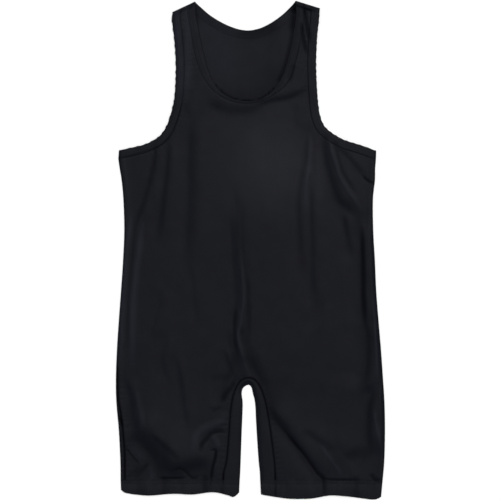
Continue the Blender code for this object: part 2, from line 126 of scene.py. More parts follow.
# Mesh spacing: panels, then rows of bands and of the inner leg strip. Creases as crisp as SHARP
# get close rows of their own.
EDGE_STEP = 2.5
GRID_STEP = 2.0
HIDDEN_GRID_STEP = 4.5
BACK_GRID_STEP = 3.0
EDGE_ROWS = (0.5, 1.2, 2.2)
EDGE_CLEAR = 0.9
FOLD_ROWS = (-2.2, -1.4, -0.7, 0, 0.7, 1.4, 2.2)
BAND_EDGE = (0, 0.12, 0.4, 0.9, 2.0, 3.6, 5.2)
BAND_INSIDE = (2.0, 0.9, 0.4, 0.12)
BAND_SEAM = 0.3
STRIP_SHARES = (1, 0.97, 0.9, 0.75, 0.55, 0.35, 0.2)
STRIP_TURNS = 8
TURN_STEPS = 9
SHARP = 0.6
SMOOTH_ANGLE = 60.0
CURVE_STEPS = 16
END_SHIFTS = (1, 0.97, 0.88, 0.73, 0.56, 0.38, 0.22, 0.1, 0.03)
WELD = 1e-4

# Stitching. Each section of a stitch is its place along it and its share of the thread's radius.
STITCH_PITCH = 2.7
STITCH_LENGTH = 2.1
STITCH_SECTIONS = ((0, 0.35), (0.14, 1), (0.86, 1), (1, 0.35))
STITCH_SIDES = 6
THREAD_RADIUS = 0.21
THREAD_SINK = 0.12
NEAR_UP = (0.13, 0.21, 0.97)
NEEDLE_ROWS = (1.7, 5.2)
SEAM_NEEDLE = 1.9
SHOULDER_NEEDLES = (-2.2, 1.6)
DIMPLE_DEPTH = 0.12
DIMPLE_WIDTH = 0.6
DIMPLE_REACH = 0.8

# Knit: the slant and height of its loops, how its tone is spread over the grain and dulls it, and
# how much the painted shade in the creases dulls it.
LOOP_SLANT = 1.3
LOOP_WAVE = 0.28
LOOP_BASE = 0.72
LOOP_BUMP = 0.6
CLOUD_STRETCH = (0.045, 0.045, 0.045)
STREAK_STRETCH = (0.55, 0.012, 1)
CLOUD_DULL = -0.25
PAINTED_SHADE_DULL = 0.6

Sides = namedtuple("Sides", "down right left")
Strap = namedtuple("Strap", "neck_corner arm_corner turnover")
Gusset = namedtuple("Gusset", "seam_x seam_down fold_x fold_down")
Crease = namedtuple("Crease", "height lean left right path shade crisp", defaults=(0, 0))
Swell = namedtuple("Swell", "height width seed")
PaintedNeckShade = namedtuple("PaintedNeckShade", "depth width path")
Seam = namedtuple("Seam", "run depth shade width")
Binding = namedtuple("Binding", "name node front back side scallop pitch start_out end_out")
Hem = namedtuple("Hem", "name node bottom inner_x outer_x")
Finish = namedtuple("Finish", "colour roughness gloss column row depth cloud streak")
Spot = namedtuple("Spot", "aim_x aim_y angle power")


def table(kind, rows):
    """The rows with their columns named."""
    return [kind(*row) for row in rows]


# The side seams, from below the armhole bands to the hems.
SIDE_SEAMS = table(Sides, (
    (241, -201.4, 191.3),
    (256, -199.2, 190.0),
    (274, -196.3, 189.6),
    (304, -193.6, 186.6),
    (350, -192.3, 187.1),
    (396, -194.2, 189.6),
    (441, -197.2, 191.6),
    (487, -200.6, 195.1),
    (532, -203.5, 198.9),
    (575, -205.0, 201.9),
    (612, -204.3, 204.2),
    (655, -200.6, 205.0),
    (700, -198.3, 204.0),
    (731.2, -197.8, 201.4),
))

# The top of each strap, and how far the back comes down its front.
RIGHT_STRAP = Strap(neck_corner=(-84.4, 1.2), arm_corner=(-119.4, 17.6), turnover=0.0)
LEFT_STRAP = Strap(neck_corner=(68.6, 0.0), arm_corner=(106.0, 11.6), turnover=5.5)

# Edges, from the strap to the side or from the right strap to the left. A third value is how
# much of the band shows, where that isn't BAND_WIDTH: it rolls in at the scoop.
RIGHT_ARMHOLE = (
    (-119.4, 17.6), (-120.4, 25), (-118.9, 37), (-115.8, 63), (-113.8, 98), (-114.9, 136),
    (-118, 159), (-124.4, 182), (-130.6, 196), (-138, 205.5), (-148, 212.5), (-164.3, 219.9),
    (-200.4, 227.8),
)
LEFT_ARMHOLE = (
    (106.0, 11.6), (104.3, 31), (101.7, 54), (100, 93), (101, 128), (103.3, 159), (106.7, 178),
    (112.6, 191), (122, 200), (133.4, 207.4), (145.5, 213.2), (166.9, 219.8), (191.5, 228.2),
)
FRONT_NECK = (
    (-84.4, 1.2), (-83.3, 21), (-79, 43), (-72.5, 75, 13.5), (-64.5, 104, 12.5), (-54.5, 127, 8.5),
    (-43, 141, 4.8), (-27, 149.8, 3), (-7, 153.5, 2.5), (12, 151.2, 2.5), (25.5, 144.6, 3.5),
    (36.5, 134, 7), (45.2, 121, 11), (51.7, 105), (57.2, 86), (61.5, 68), (66.2, 42.5),
    (69.2, 20), (68.6, 0.0),
)
BACK_NECK = (
    (-84.4, 1.2), (-77, 8.6), (-64.8, 19.8), (-52.6, 28.2), (-40.4, 35), (-28, 40.4),
    (-14, 44.4), (0, 45.2), (14.5, 42), (27, 36.2), (39, 28.8), (51, 19.4), (61, 9.2), (68.6, 0.0),
)
RIGHT_HEM = (
    (-197.2, 746), (-187, 750.6), (-156, 753.8), (-118, 751.2), (-88, 752.2), (-57, 748.8),
    (-34, 753.6), (-26, 756), (-17.3, 750),
)
LEFT_HEM = (
    (16, 752.4), (39, 756.2), (62, 758.8), (92, 758.4), (121, 753.8), (145, 755), (168, 757.8),
    (188, 760), (199, 756.5),
)

# The strip between the legs, from the right hem over the crotch to the left hem.
INNER_LEG = table(Gusset, (
    (-41.8, 731.2, -16.4, 731.2),
    (-40.6, 718, -15.6, 718),
    (-36.8, 703, -15.0, 703),
    (-34.3, 680, -14.2, 680),
    (-32.3, 652, -13.2, 652),
    (-30.6, 628, -12.2, 629),
    (-27.4, 606, -11.9, 612),
    (-21.6, 589, -13.4, 598),
    (-14.2, 578.4, -10.8, 589.5),
    (-5.3, 575.0, -3.2, 585.4),
    (3.8, 576.0, 1.4, 589),
    (11.0, 582.6, 3.6, 598),
    (17.2, 594, 6.2, 608),
    (22.6, 611, 7.6, 620),
    (26.6, 631, 8.3, 636),
    (30.2, 654, 9.4, 656),
    (33.6, 680, 11.0, 681),
    (36.4, 703, 12.6, 703),
    (37.4, 718, 14.2, 718),
    (37.8, 731.2, 14.8, 731.2),
))

# Creases of the front layer. lean 0 is a ridge, or a valley where the height is below zero. lean 1
# is a bank that climbs to the left of the path as it is followed. left and right are the reaches
# to each side. shade is painted shade: how much darker the cloth is painted along the crease, and
# below zero a painted highlight, how much lighter it is painted. crisp runs from a round crease,
# 0, to a sharp one, 1.
FRONT_CREASES = table(Crease, (
    # Right side of the body.
    (0.42, 1, 11, 10, ((-141, 198), (-145, 240), (-149, 262), (-156, 288), (-163.5, 311), (-172, 334),
        (-178.5, 362)), 0.08),
    (0.5, 0, 13, 7, ((-169, 322), (-173, 355), (-176, 384), (-179, 412), (-182, 441), (-183, 479),
        (-184, 540))),
    (0.1, 0, 8, 7, ((-163, 322), (-167, 355), (-170, 384), (-173, 403), (-176, 431), (-179, 460),
        (-180, 500), (-180, 575)), -0.9),
    (0.1, 0, 6, 6, ((-176, 306), (-182, 335), (-187, 365), (-190, 390), (-194, 450), (-197, 500),
        (-199, 575)), -0.9),
    (0.15, 1, 7, 7, ((-143, 272), (-147, 296), (-149, 322))),
    (0.46, 1, 12, 11, ((-122, 200), (-124, 232), (-125.5, 252), (-128, 275), (-131, 296), (-133, 315),
        (-136, 337), (-138, 356), (-141, 385)), 0.12),
    (0.5, 1, 20, 17, ((-87, 165), (-89, 222), (-90, 260), (-89, 289), (-91, 327), (-92, 355), (-94, 384),
        (-93, 425)), 0.05),
    (0.12, 1, 9, 9, ((-93, 395), (-87, 422), (-85, 450), (-81, 479), (-77, 508))),
    (0.18, 1, 10, 10, ((-132, 435), (-139, 470), (-147, 500), (-151, 525))),
    (0.2, 1, 11, 11, ((-121, 498), (-129, 521), (-133, 544), (-127, 572), (-120, 592))),
    (0.25, 1, 10, 10, ((-112, 535), (-108.7, 560), (-104.4, 588), (-100, 620), (-95.7, 642), (-93, 672))),
    # Middle, from the belly to the crotch.
    (0.1, 0, 3.5, 3.5, ((-15, 391), (-12, 420), (-11, 445), (-11, 464), (-14, 479), (-16, 496),
        (-19.5, 508), (-17, 525), (-11.3, 544), (-1, 580)), -0.45),
    (-0.2, 0, 9, 8, ((-17, 290), (-12, 345), (-9, 385), (-5, 420), (-2, 450)), 0.14),
    (-0.35, 0, 9, 8, ((-17, 492), (-7.5, 522), (-3, 544), (2, 560), (9, 584)), 0.2, 0.2),
    (-0.05, 0, 9, 9, ((-64, 574), (-44, 575), (-22, 570)), 0.12),
    (-0.05, 0, 14, 12, ((-18, 520), (-30, 562), (-39, 590), (-48, 628)), 0.13),
    (-0.05, 0, 13, 14, ((-2, 515), (14, 560), (26, 595), (34, 625), (45, 665)), 0.15),
    (-0.05, 0, 6, 6, ((-22.5, 277), (-20.7, 317), (-17, 363), (-14, 402)), 0.13),
    (1.4, 0, 13, 16, ((-22, 290), (-20.7, 317), (-17, 363), (-15, 391), (-12, 420), (-11, 445), (-11, 464),
        (-14, 479), (-16, 496), (-19.5, 508), (-17, 525), (-11.3, 544), (-7, 559), (3, 590), (20, 640)), 0,
        0.25),
    (-0.5, 0, 5, 5, ((-22, 462), (-25, 486), (-25, 505), (-24, 524), (-16, 550)), 0.3, 0.3),
    (-0.4, 0, 5, 5, ((-4, 412), (-2.5, 440), (-2, 462), (-2, 482), (-5, 530)), 0.22, 0.3),
    (0.3, 1, 14, 12, ((-4, 535), (8, 562), (26, 594))),
    (0.2, 1, 8, 8, ((-40, 528), (-34, 548), (-28, 563), (-20, 584))),
    (-0.9, 0, 6, 6, ((-22, 574), (-28, 588), (-37, 599), (-42, 609), (-47, 618)), 0.35, 0.3),
    (0.15, 1, 8, 8, ((-62, 626), (-48, 620), (-36, 612))),
    # Left side of the body.
    (0.32, 1, 11, 11, ((99, 180), (93.6, 197), (87, 212), (85, 235), (81, 258), (76.4, 283), (74.5, 311),
        (75.5, 340), (77, 370), (80, 410), (83, 444)), 0.1),
    (0.25, 0, 5, 5, ((92, 203), (91, 226), (89.5, 254), (85, 277), (84, 302), (85, 334)), -0.5),
    (0.15, 1, 6, 6, ((98, 203), (97.4, 225), (97, 245), (94, 268))),
    (0.25, 0, 10, 8, ((101, 226), (103, 262), (104, 290), (104, 324)), -0.2),
    (0.38, 1, 11, 11, ((94, 256), (93.6, 292), (93.6, 321), (94.5, 350), (95.5, 388), (95.5, 416),
        (97.4, 445), (101, 486)), 0.03),
    (0.66, 1, 19, 15, ((115, 186), (115.5, 208), (115.5, 226), (118, 245), (123, 264), (129, 283),
        (136.5, 302), (148, 313), (163, 327), (182, 347)), 0.12),
    (0.4, 0, 5, 5, ((117, 203), (125, 233), (131, 252), (136.5, 269), (148, 288), (161, 307), (173, 332)),
        -0.6),
    (0.2, 1, 7, 7, ((127, 206), (131, 226), (138, 254), (148, 273), (167, 303)), 0.08),
    (0.22, 1, 9, 8, ((124, 206), (134.5, 222), (152, 241), (167, 258), (182, 278)), 0.04),
    (-0.8, 0, 3.2, 3, ((170, 266), (178, 274), (184, 277), (194, 278)), 0.4, 0.7),
    (0.4, 1, 10, 10, ((141, 318), (144, 334), (146, 346), (149, 362), (155, 385), (160, 398)), 0.12),
    (1.0, 1, 14, 13, ((167, 326), (169, 359), (170, 387), (170.7, 405), (171.7, 426), (170.7, 445),
        (172, 464), (173, 483), (175, 502), (177, 524)), 0.12),
    (-0.8, 0, 5, 5, ((169, 342), (170.7, 405), (171, 440), (172, 464), (173, 483), (175, 510)), 0.4, 0.5),
    (0.9, 1, 17, 17, ((179, 486), (179, 507), (179, 542), (177, 570), (171, 590), (167, 602)), 0.15),
    (0.9, 1, 16, 15, ((191, 582), (187.8, 598), (182, 618), (181, 640), (181, 656), (183, 673), (188, 700)),
        0.15),
    (0.3, 0, 5, 5, ((189, 430), (190, 500), (192, 560), (192, 596)), -0.6),
    (0.3, 0, 5, 5, ((188, 620), (190, 640), (196, 666), (200, 690)), -0.7),
    (0.14, 1, 8, 8, ((118, 458), (111, 472), (103, 488), (92, 508))),
    # Right leg.
    (0.36, 1, 12, 12, ((-188, 570), (-185, 590), (-180.6, 610), (-178.4, 631), (-177, 650), (-176, 664))),
    (0.3, 0, 7, 7, ((-175, 590), (-171, 612), (-167, 634), (-166, 662)), -0.5),
    (1.5, 1, 36, 38, ((-186, 658), (-170, 667), (-157, 678), (-146, 690), (-138, 702), (-132, 716),
        (-129, 744)), 0.12),
    (0.2, 1, 8, 8, ((-154, 657), (-148, 663), (-137, 673), (-124, 684), (-113, 694.5), (-104, 704)), 0.1),
    (0.8, 1, 22, 18, ((-136, 712), (-124, 712), (-106.6, 711), (-89, 707.6), (-71.7, 703), (-56, 698)),
        0.12),
    (-0.8, 0, 3, 2.5, ((-142, 727.5), (-132, 727.5), (-104, 727.5), (-96, 727)), 0.5, 0.8),
    (-0.6, 0, 4, 4, ((-120, 719), (-108, 713), (-98, 719), (-88, 728), (-74, 723)), 0.3, 0.6),
    (-0.5, 0, 3, 3, ((-193, 677), (-181, 692), (-167, 709)), 0.4, 0.6),
    (-0.8, 0, 7, 7, ((-153, 703), (-160, 710), (-171, 721), (-177, 731)), 0.3, 0.3),
    (-0.6, 0, 6, 6, ((-167, 707), (-176, 716), (-190, 728)), 0.2, 0.3),
    (0.4, 0, 9, 9, ((-182, 679), (-173, 688), (-161, 698)), -0.4),
    (0.3, 0, 7, 7, ((-154, 706), (-149, 732)), -0.4),
    (-0.7, 0, 5, 5, ((-34, 658), (-39, 657.5), (-50, 656.4), (-58.7, 659.7), (-67.4, 668.4), (-73.9, 677),
        (-76.5, 694)), 0.4, 0.3),
    (0.35, 0, 9, 9, ((-37, 626), (-43, 640), (-58.7, 647), (-71.7, 653), (-82.6, 664), (-87, 677),
        (-88, 700)), -0.6),
    (0.4, 0, 8, 8, ((-61, 660), (-53, 672), (-47, 686)), -0.5),
    (-1.2, 0, 3.5, 3, ((-64, 687), (-53.5, 685), (-54, 697), (-57.6, 710), (-60, 724), (-61, 742)), 0.55,
        0.7),
    (-0.8, 0, 3.5, 3.5, ((-201, 630), (-197.5, 640), (-195, 650)), 0.6, 0.5),
    # Left leg.
    (0.7, 1, 20, 10, ((22, 620), (37, 636), (50, 651), (61, 666), (80, 690), (102, 721), (113, 738))),
    (-1.1, 0, 5, 4, ((48, 650), (61, 667), (70, 678), (80.6, 690.5), (91.5, 706), (102.4, 721), (111, 731),
        (112, 775)), 0.5, 0.6),
    (-0.1, 0, 8, 7, ((22, 610), (45, 642), (58, 661), (72, 680), (88, 700)), 0.24),
    (-0.6, 0, 2.6, 2.2, ((100, 725), (118, 729.5), (136, 730), (153, 730.5), (170, 731)), 0.4, 0.7),
    (0.22, 1, 12, 12, ((80, 650), (98, 664), (111, 673), (122, 681), (134, 692))),
    (0.12, 0, 4, 4, ((102, 674), (111, 684), (122, 699), (133, 714), (143, 729)), -0.6),
    (0.32, 1, 18, 20, ((142, 698), (158, 690), (172, 688), (190, 696)), 0.16),
    (-1.0, 0, 5, 5, ((182, 721), (190, 730), (201, 734)), 0.4, 0.5),
    # Straps and neckline.
    (0.05, 0, 10, 9, ((-113, -20), (-112, 30), (-110, 60), (-107.5, 95), (-108, 130), (-111, 170)), -1.15),
    (0.12, 0, 10, 9, ((-97, -10), (-96, 50), (-95.5, 95), (-97, 125), (-102, 165)), -0.9),
    (-0.1, 0, 1.8, 1.8, ((-103.5, 130), (-106.5, 162), (-113.5, 186), (-122, 204), (-133, 217),
        (-146, 224.5), (-165, 231.5), (-199, 240), (-225, 246)), 0.35),
    (-0.3, 0, 4, 4, ((48, 0.6), (66.6, 6.4), (84, 11.8), (104, 18)), 0.6),
    (0.16, 1, 18, 15, ((-72, 148), (-50, 160), (-27, 166), (-4, 166), (18, 158), (34, 148)), 0.2),
    (0.4, 1, 11, 9, ((2, 159), (20, 154), (38, 150), (56, 147), (75, 139), (94, 129)), 0.12),
    (-1.0, 0, 4.5, 4, ((80, 2), (82.5, 20), (85, 37), (89, 56), (92, 68)), 0.4, 0.5),
    (-0.8, 0, 4.5, 4.5, ((76, 30), (78.3, 43), (80.2, 60), (84, 75), (88, 88)), 0.35, 0.4),
    (-0.8, 0, 6, 6, ((66, 96), (56, 126)), 0.1, 0.2),
    (0.15, 1, 11, 11, ((69, 152), (70, 175), (69, 198))),
    (-0.5, 0, 8, 8, ((-99, 8), (-97, 46))),
    (0.15, 1, 9, 9, ((-84, 136), (-96, 158), (-92, 182))),
    (0.12, 1, 8, 8, ((-103, 122), (-107, 164))),
    (0.05, 0, 7, 7, ((104, 150), (109, 175), (116, 188), (128, 197), (145, 206), (166, 214), (200, 226)),
        -0.9),
    # Ripples of the hems.
    (-0.3, 0, 2, 2, ((-41, 712), (-42, 735), (-42.5, 790)), 0.5),
    (-0.3, 0, 2, 2, ((37.4, 712), (38, 735), (38.5, 790)), 0.5),
    (-0.6, 0, 7, 7, ((-170, 726), (-171, 770)), 0.15, 0.2),
    (0.6, 0, 9, 9, ((-156, 726), (-157, 770))),
    (-0.8, 0, 9, 9, ((-132, 722), (-131, 770)), 0.2, 0.2),
    (0.6, 0, 9, 9, ((-117, 726), (-116, 770))),
    (0.5, 0, 9, 9, ((-98, 726), (-97, 770))),
    (-0.8, 0, 8, 8, ((-70, 720), (-69, 770)), 0.25, 0.3),
    (0.6, 0, 7, 7, ((-58, 726), (-57, 770))),
    (0.6, 0, 10, 10, ((63, 726), (62, 776))),
    (0.6, 0, 8, 8, ((90, 726), (89, 776))),
    (0.6, 0, 10, 10, ((137, 726), (138, 776))),
    (-0.8, 0, 9, 9, ((161, 722), (160, 776)), 0.2, 0.2),
))

# Where the back has drawn up off the surface, and the roll of its neckline.
BACK_CREASES = table(Crease, (
    (1.3, 0, 22, 22, ((-120, 250), (-150, 340), (-158, 450))),
    (1.1, 0, 20, 20, ((-40, 200), (-30, 320), (-44, 430))),
    (1.3, 0, 22, 22, ((96, 240), (78, 350), (88, 470))),
    (1.2, 0, 20, 20, ((150, 300), (158, 420), (150, 540))),
    (1.3, 0, 20, 20, ((-60, 520), (-104, 600), (-128, 690))),
    (1.2, 0, 20, 20, ((50, 560), (84, 640), (110, 710))),
))
NECK_ROLL = table(Crease, (
    (0.4, 0, 17, 16, ((-100, -20), (-76, 10), (-40, 35), (-14, 44), (0, 45), (27, 36), (60, 10),
        (80, -20))),
))

# Painted shade inside the neck: painted shadow in its corners, where the front of each strap stands
# off the back, and painted shade along its edges. depth is how much darker the cloth is painted;
# where it is below zero the cloth is painted lighter.
PAINTED_NECK_SHADES = table(PaintedNeckShade, (
    (0.3, 3, ((-85, 0), (-83, 20), (-80, 34))),
    (0.3, 2.2, ((66, 24), (64.5, 42), (59.5, 68), (55, 86), (49.7, 105), (43, 121))),
    (0.75, 3.5, ((71, -6), (68, 6), (66.5, 16))),
    (0.25, 5, ((67.5, 10), (65, 22), (62.5, 40))),
    (0.5, 0.9, ((-53, 127), (-42, 140), (-27, 148.6), (-7, 152.4), (12, 150), (25, 143.5), (36, 132.5))),
    (-0.4, 34, ((-50, 45), (-47, 95))),
    (0.15, 22, ((-50, 130), (-30, 148), (0, 152), (25, 144), (42, 122))),
    (0.2, 14, ((-40, 34), (-14, 45), (0, 46), (27, 38))),
))

# How deep each seam draws the cloth in, and how dark the painted shade along it is and how wide.
# The right leg's side seam has turned to the front low down.
SEAMS = table(Seam, (
    ("right_shoulder", 0.1, 0.0, 1.2),
    ("left_shoulder", 0.4, 0.6, 2.4),
    ("neck", 0.3, 0.1, 1.2),
    ("right_arm", 0.3, 0.12, 1.2),
    ("left_arm", 0.45, 0.5, 1.3),
    ("gusset", 0.7, 0.65, 1.8),
    ("right_hem", 0.1, 0.05, 1.2),
    ("left_hem", 0.1, 0.05, 1.2),
))
TURNED = Seam("side", 0.7, 0.7, 1.8)
TURNED_SEAM = (
    (-203.5, 560), (-202.4, 588), (-201.3, 610), (-198, 627), (-195.8, 642), (-193.7, 664),
    (-191.8, 686), (-191.5, 708), (-191.5, 731.2),
)

# Uneven swells of the cloth, from broad to fine.
SWELLS = table(Swell, (
    (0.3, 95, 3.1),
    (0.1, 34, 7.7),
    (0.025, 9, 1.3),
))

# Colours and finishes. Columns, rows and depth of the knit are in millimetres.
CLOTH_COLOUR = (0.0042, 0.0047, 0.0073)
THREAD_COLOUR = (0.0045, 0.005, 0.008)
FLOOR_COLOUR = (0.92, 0.92, 0.92)
FLOOR_ROUGHNESS = 0.9
FLOOR_GLOSS = 0.1
FINISHES = {
    "body_knit": Finish(CLOTH_COLOUR, 0.35, 0.026, 0.55, 0.42, 0.05, 0.28, 0.25),
    "binding_knit": Finish(CLOTH_COLOUR, 0.35, 0.026, 0.7, 0.5, 0.07, 0.5, 0.3),
    "hem_knit": Finish(CLOTH_COLOUR, 0.38, 0.036, 0.7, 0.5, 0.09, 0.7, 1.0),
    "sewing_thread": Finish(THREAD_COLOUR, 0.45, 0.1, 0.25, 0.35, 0.03, 0.2, 0.1),
}

# Floor, camera and lights, in metres and degrees.
FLOOR_REACH = 4.0
FLOOR_HEIGHT = -0.0002
FRAME_WIDTH = 0.762
CAMERA_PLACE = (-0.00076, 0.0001, 5.0)
SENSOR = 36.0
KEY_TILT = 12.5
KEY_HEADING = 55.0
KEY_SPREAD = 26.0
KEY_POWER = 2.4
FILL_POWER = 0.4
SPOT_PLACE = (0.35, 0.75, 3.0)
SPOT_RADIUS = 0.06

# Small soft lights that glow on the chest. Their angles are in radians.
SPOTS = table(Spot, (
    (0.052, 0.118, 0.042, 210.0),
    (0.012, 0.150, 0.05, 150.0),
))


def plan(x, down):
    """A point of the tables as (x, y), in millimetres."""
    return np.array([x, LENGTH / 2 - down], float)


def plan_path(points):
    return np.array([plan(x, down) for x, down in points])


def smooth_path(points, spacing):
    """Evenly spaced points on a smooth curve through the given ones."""
    knots = np.asarray(points, float)
    padded = np.vstack([2 * knots[0] - knots[1], knots, 2 * knots[-1] - knots[-2]])
    t = np.linspace(0, 1, CURVE_STEPS, endpoint=False)[:, None]
    spans = []
    for a, b, c, d in zip(padded, padded[1:], padded[2:], padded[3:]):
        curve = 2 * b + (c - a) * t
        curve = curve + (2 * a - 5 * b + 4 * c - d) * t**2
        curve = curve + (3 * b - a - 3 * c + d) * t**3
        spans.append(curve / 2)
    return evenly(np.vstack(spans + [knots[-1:]]), spacing)


def distance_along(path):
    return np.append(0, np.cumsum(np.linalg.norm(np.diff(path, axis=0), axis=1)))


def evenly(path, spacing):
    """The path again, with its points about the spacing apart."""
    run = distance_along(path[:, :2])
    at = np.linspace(0, run[-1], max(2, round(run[-1] / spacing) + 1))
    return np.column_stack([np.interp(at, run, column) for column in path.T])


def unit(vectors):
    return vectors / np.linalg.norm(vectors, axis=1)[:, None]


def offset_path(path, distance):
    """The path moved sideways, to its left where distance is above zero."""
    along = unit(np.gradient(path, axis=0))
    return path + np.reshape(distance, (-1, 1)) * np.column_stack([-along[:, 1], along[:, 0]])


def lean_ends(path, start, end):
    """The path with its ends moved to the given points and its next points after them."""
    moved = path.copy()
    for k, share in enumerate(END_SHIFTS):
        moved[k] += share * (start - path[0])
        moved[-1 - k] += share * (end - path[-1])
    return moved


def ease(t):
    """0 to 1, level at both ends."""
    t = np.clip(t, 0, 1)
    return t * t * (3 - 2 * t)


def soft_line(distance, width):
    """1 on a line, fading softly over about its width."""
    return np.exp(-((distance / width) ** 2))


def drift(place, change, seed):
    """Uneven values between -1 and 1 along a line, which change over about a given length."""
    return np.array([noise.noise((k / change, seed, 0.5)) for k in place])


class Line:
    """A path on the plan that tells how points lie to it."""

    def __init__(self, path):
        self.path = np.asarray(path, float)
        self.steps = np.diff(self.path, axis=0)
        self.run = distance_along(self.path)
        self.tree = KDTree(len(self.path))
        for k, spot in enumerate(self.path):
            self.tree.insert((*spot, 0), k)
        self.tree.balance()

    def near(self, points):
        """Each point's distance, its place along the path, and 1 on the left or -1 on the right."""
        found = np.array([self.tree.find((*spot, 0))[1] for spot in points], int)
        best = np.full((3, len(points)), np.inf)
        for first in (np.maximum(found - 1, 0), np.minimum(found, len(self.steps) - 1)):
            step = self.steps[first]
            reach = points - self.path[first]
            share = np.clip((reach * step).sum(1) / (step * step).sum(1), 0, 1)
            away = reach - share[:, None] * step
            place = self.run[first] + share * np.hypot(*step.T)
            turn = step[:, 0] * reach[:, 1] - step[:, 1] * reach[:, 0]
            made = np.array([np.hypot(*away.T), place, np.where(turn < 0, -1, 1)])
            best = np.where(made[0] < best[0], made, best)
        return best

    def distance(self, points):
        return self.near(points)[0]


class StrapTop:
    """The lines across the top of one strap, where bands and back turn to the front."""

    def __init__(self, strap):
        neck = plan(*strap.neck_corner)
        arm = plan(*strap.arm_corner)
        along = (arm - neck) / np.linalg.norm(arm - neck)
        band = along * BAND_WIDTH / abs(along[0])
        gap = -along * SEAM_LAP
        self.corner = neck
        self.outward = np.array([-along[1], along[0]]) * math.copysign(1, along[0])
        inset = self.outward * ROLL
        self.neck_band = (neck - inset, neck + band - inset)
        self.arm_band = (arm - inset, arm - band - inset)
        inset = self.outward * SHOULDER_AXIS
        self.panel = (neck + band + gap - inset, arm - band - gap - inset)
        self.turnover = strap.turnover

    def depth(self, points):
        return (self.corner - points) @ self.outward

    def cross(self, path, depth):
        """Where a seam line passes a depth below the strap's top."""
        near = path[self.depth(path) < STRAP_REACH]
        near = near[np.argsort(self.depth(near))]
        return np.array([np.interp(depth, self.depth(near), column) for column in near.T])

    def front_end(self, neck_seam, arm_seam, gap):
        """The neck and arm corners of the shoulder seam, gap below the turned back."""
        depth = SHOULDER_AXIS + self.turnover + gap
        return self.cross(neck_seam, depth), self.cross(arm_seam, depth)


def side_path(column):
    return smooth_path(plan_path([(getattr(row, column), row.down) for row in SIDE_SEAMS]), EDGE_STEP)


def band_lines(edge, side, start, end):
    """A band's free edge and its seam line, point for point, between two end lines."""
    rows = [(*plan(x, down), *(width or (BAND_WIDTH,))) for x, down, *width in edge]
    free, width = np.split(smooth_path(rows, EDGE_STEP), [2], axis=1)
    seam = offset_path(free, side * width)
    return lean_ends(free, start[0], end[0]), lean_ends(seam, start[1], end[1])


def armhole_lines(edge, top, side, outward):
    corner = plan(*edge[-1])
    inset = np.array([outward * ROLL, 0])
    side_end = (corner - inset, side[0] + np.array([0, LAYER_GAP]) - inset)
    return band_lines(edge, -outward, top.arm_band, side_end)


RIGHT_TOP = StrapTop(RIGHT_STRAP)
LEFT_TOP = StrapTop(LEFT_STRAP)
RIGHT_SIDE = side_path("right")
LEFT_SIDE = side_path("left")
NECK_FRONT = band_lines(FRONT_NECK, -1, RIGHT_TOP.neck_band, LEFT_TOP.neck_band)
NECK_BACK = band_lines(BACK_NECK, -1, RIGHT_TOP.neck_band, LEFT_TOP.neck_band)
RIGHT_ARM = armhole_lines(RIGHT_ARMHOLE, RIGHT_TOP, RIGHT_SIDE, -1)
LEFT_ARM = armhole_lines(LEFT_ARMHOLE, LEFT_TOP, LEFT_SIDE, 1)
GUSSET_ROWS = smooth_path(
    [(*plan(row.seam_x, row.seam_down), *plan(row.fold_x, row.fold_down)) for row in INNER_LEG],
    EDGE_STEP,
)
GUSSET_SEAM = GUSSET_ROWS[:, :2]
INNER_FOLD = GUSSET_ROWS[:, 2:]
GUSSET_LINE = Line(GUSSET_SEAM)

SIDE_LINES = (Line(RIGHT_SIDE), Line(LEFT_SIDE))
CLOSED_LINES = (
    Line(np.vstack([RIGHT_SIDE, plan(*RIGHT_HEM[0])])),
    Line(np.vstack([LEFT_SIDE, plan(*LEFT_HEM[-1])])),
    Line(np.vstack([plan(*RIGHT_HEM[-1]), INNER_FOLD, plan(*LEFT_HEM[0])])),
)
OPEN_LINES = (Line(NECK_FRONT[0]), Line(RIGHT_ARM[0]), Line(LEFT_ARM[0]))
STRAP_LINES = (
    Line([RIGHT_TOP.neck_band[0], RIGHT_TOP.arm_band[0]]),
    Line([LEFT_TOP.neck_band[0], LEFT_TOP.arm_band[0]]),
)


def least_distance(points, lines):
    return np.min([line.distance(points) for line in lines], axis=0)


def crease_lines(creases):
    return [(crease, Line(smooth_path(plan_path(crease.path), EDGE_STEP))) for crease in creases]


FRONT_LINES = crease_lines(FRONT_CREASES)
BACK_LINES = crease_lines(BACK_CREASES)
ROLL_LINES = crease_lines(NECK_ROLL)


def crease_height(crease, u):
    """A crease's section. u is the place across it, 0 on its path and -1 and 1 at its reaches."""
    if crease.lean:
        run = np.minimum(np.abs(u) / BANK_RUN, 1)
        bank = BANK_SCALE * u / (1 + (u / BANK_STEEP) ** 2)
        return crease.height * bank * (1 - run * run) ** 2
    away = np.minimum(np.abs(u), 1)
    ridge = (1 - crease.crisp) * (1 - away * away) ** 2 + crease.crisp * (1 - away) ** 2
    return crease.height * ridge


def crease_shade(crease, u):
    """How dark a crease is painted across its section: painted shade, below zero painted highlight."""
    return crease.shade * soft_line(u, SHADE_SHARE)


def crease_sum(points, lines, section=crease_height):
    """Sum of the creases. Each one widens a little along its path and fades at both ends."""
    total = np.zeros(len(points))
    for crease, line in lines:
        reach = max(crease.left, crease.right) * WIDE_END * BANK_RUN
        low, high = line.path.min(axis=0) - reach, line.path.max(axis=0) + reach
        close = np.flatnonzero(((points > low) & (points < high)).all(axis=1))
        if not len(close):
            continue
        gap, place, side = line.near(points[close])
        share = place / line.run[-1]
        width = np.where(side > 0, crease.left, crease.right)
        width = width * (NARROW_START + (WIDE_END - NARROW_START) * share)
        fade = ease(share / CREASE_START) * ease((1 - share) / CREASE_END)
        total[close] += fade * section(crease, side * gap / width)
    return total


def swell_height(points):
    height = np.zeros(len(points))
    for swell in SWELLS:
        at = points / swell.width
        height += swell.height * np.array([noise.noise((x, y, swell.seed)) for x, y in at])
    return height


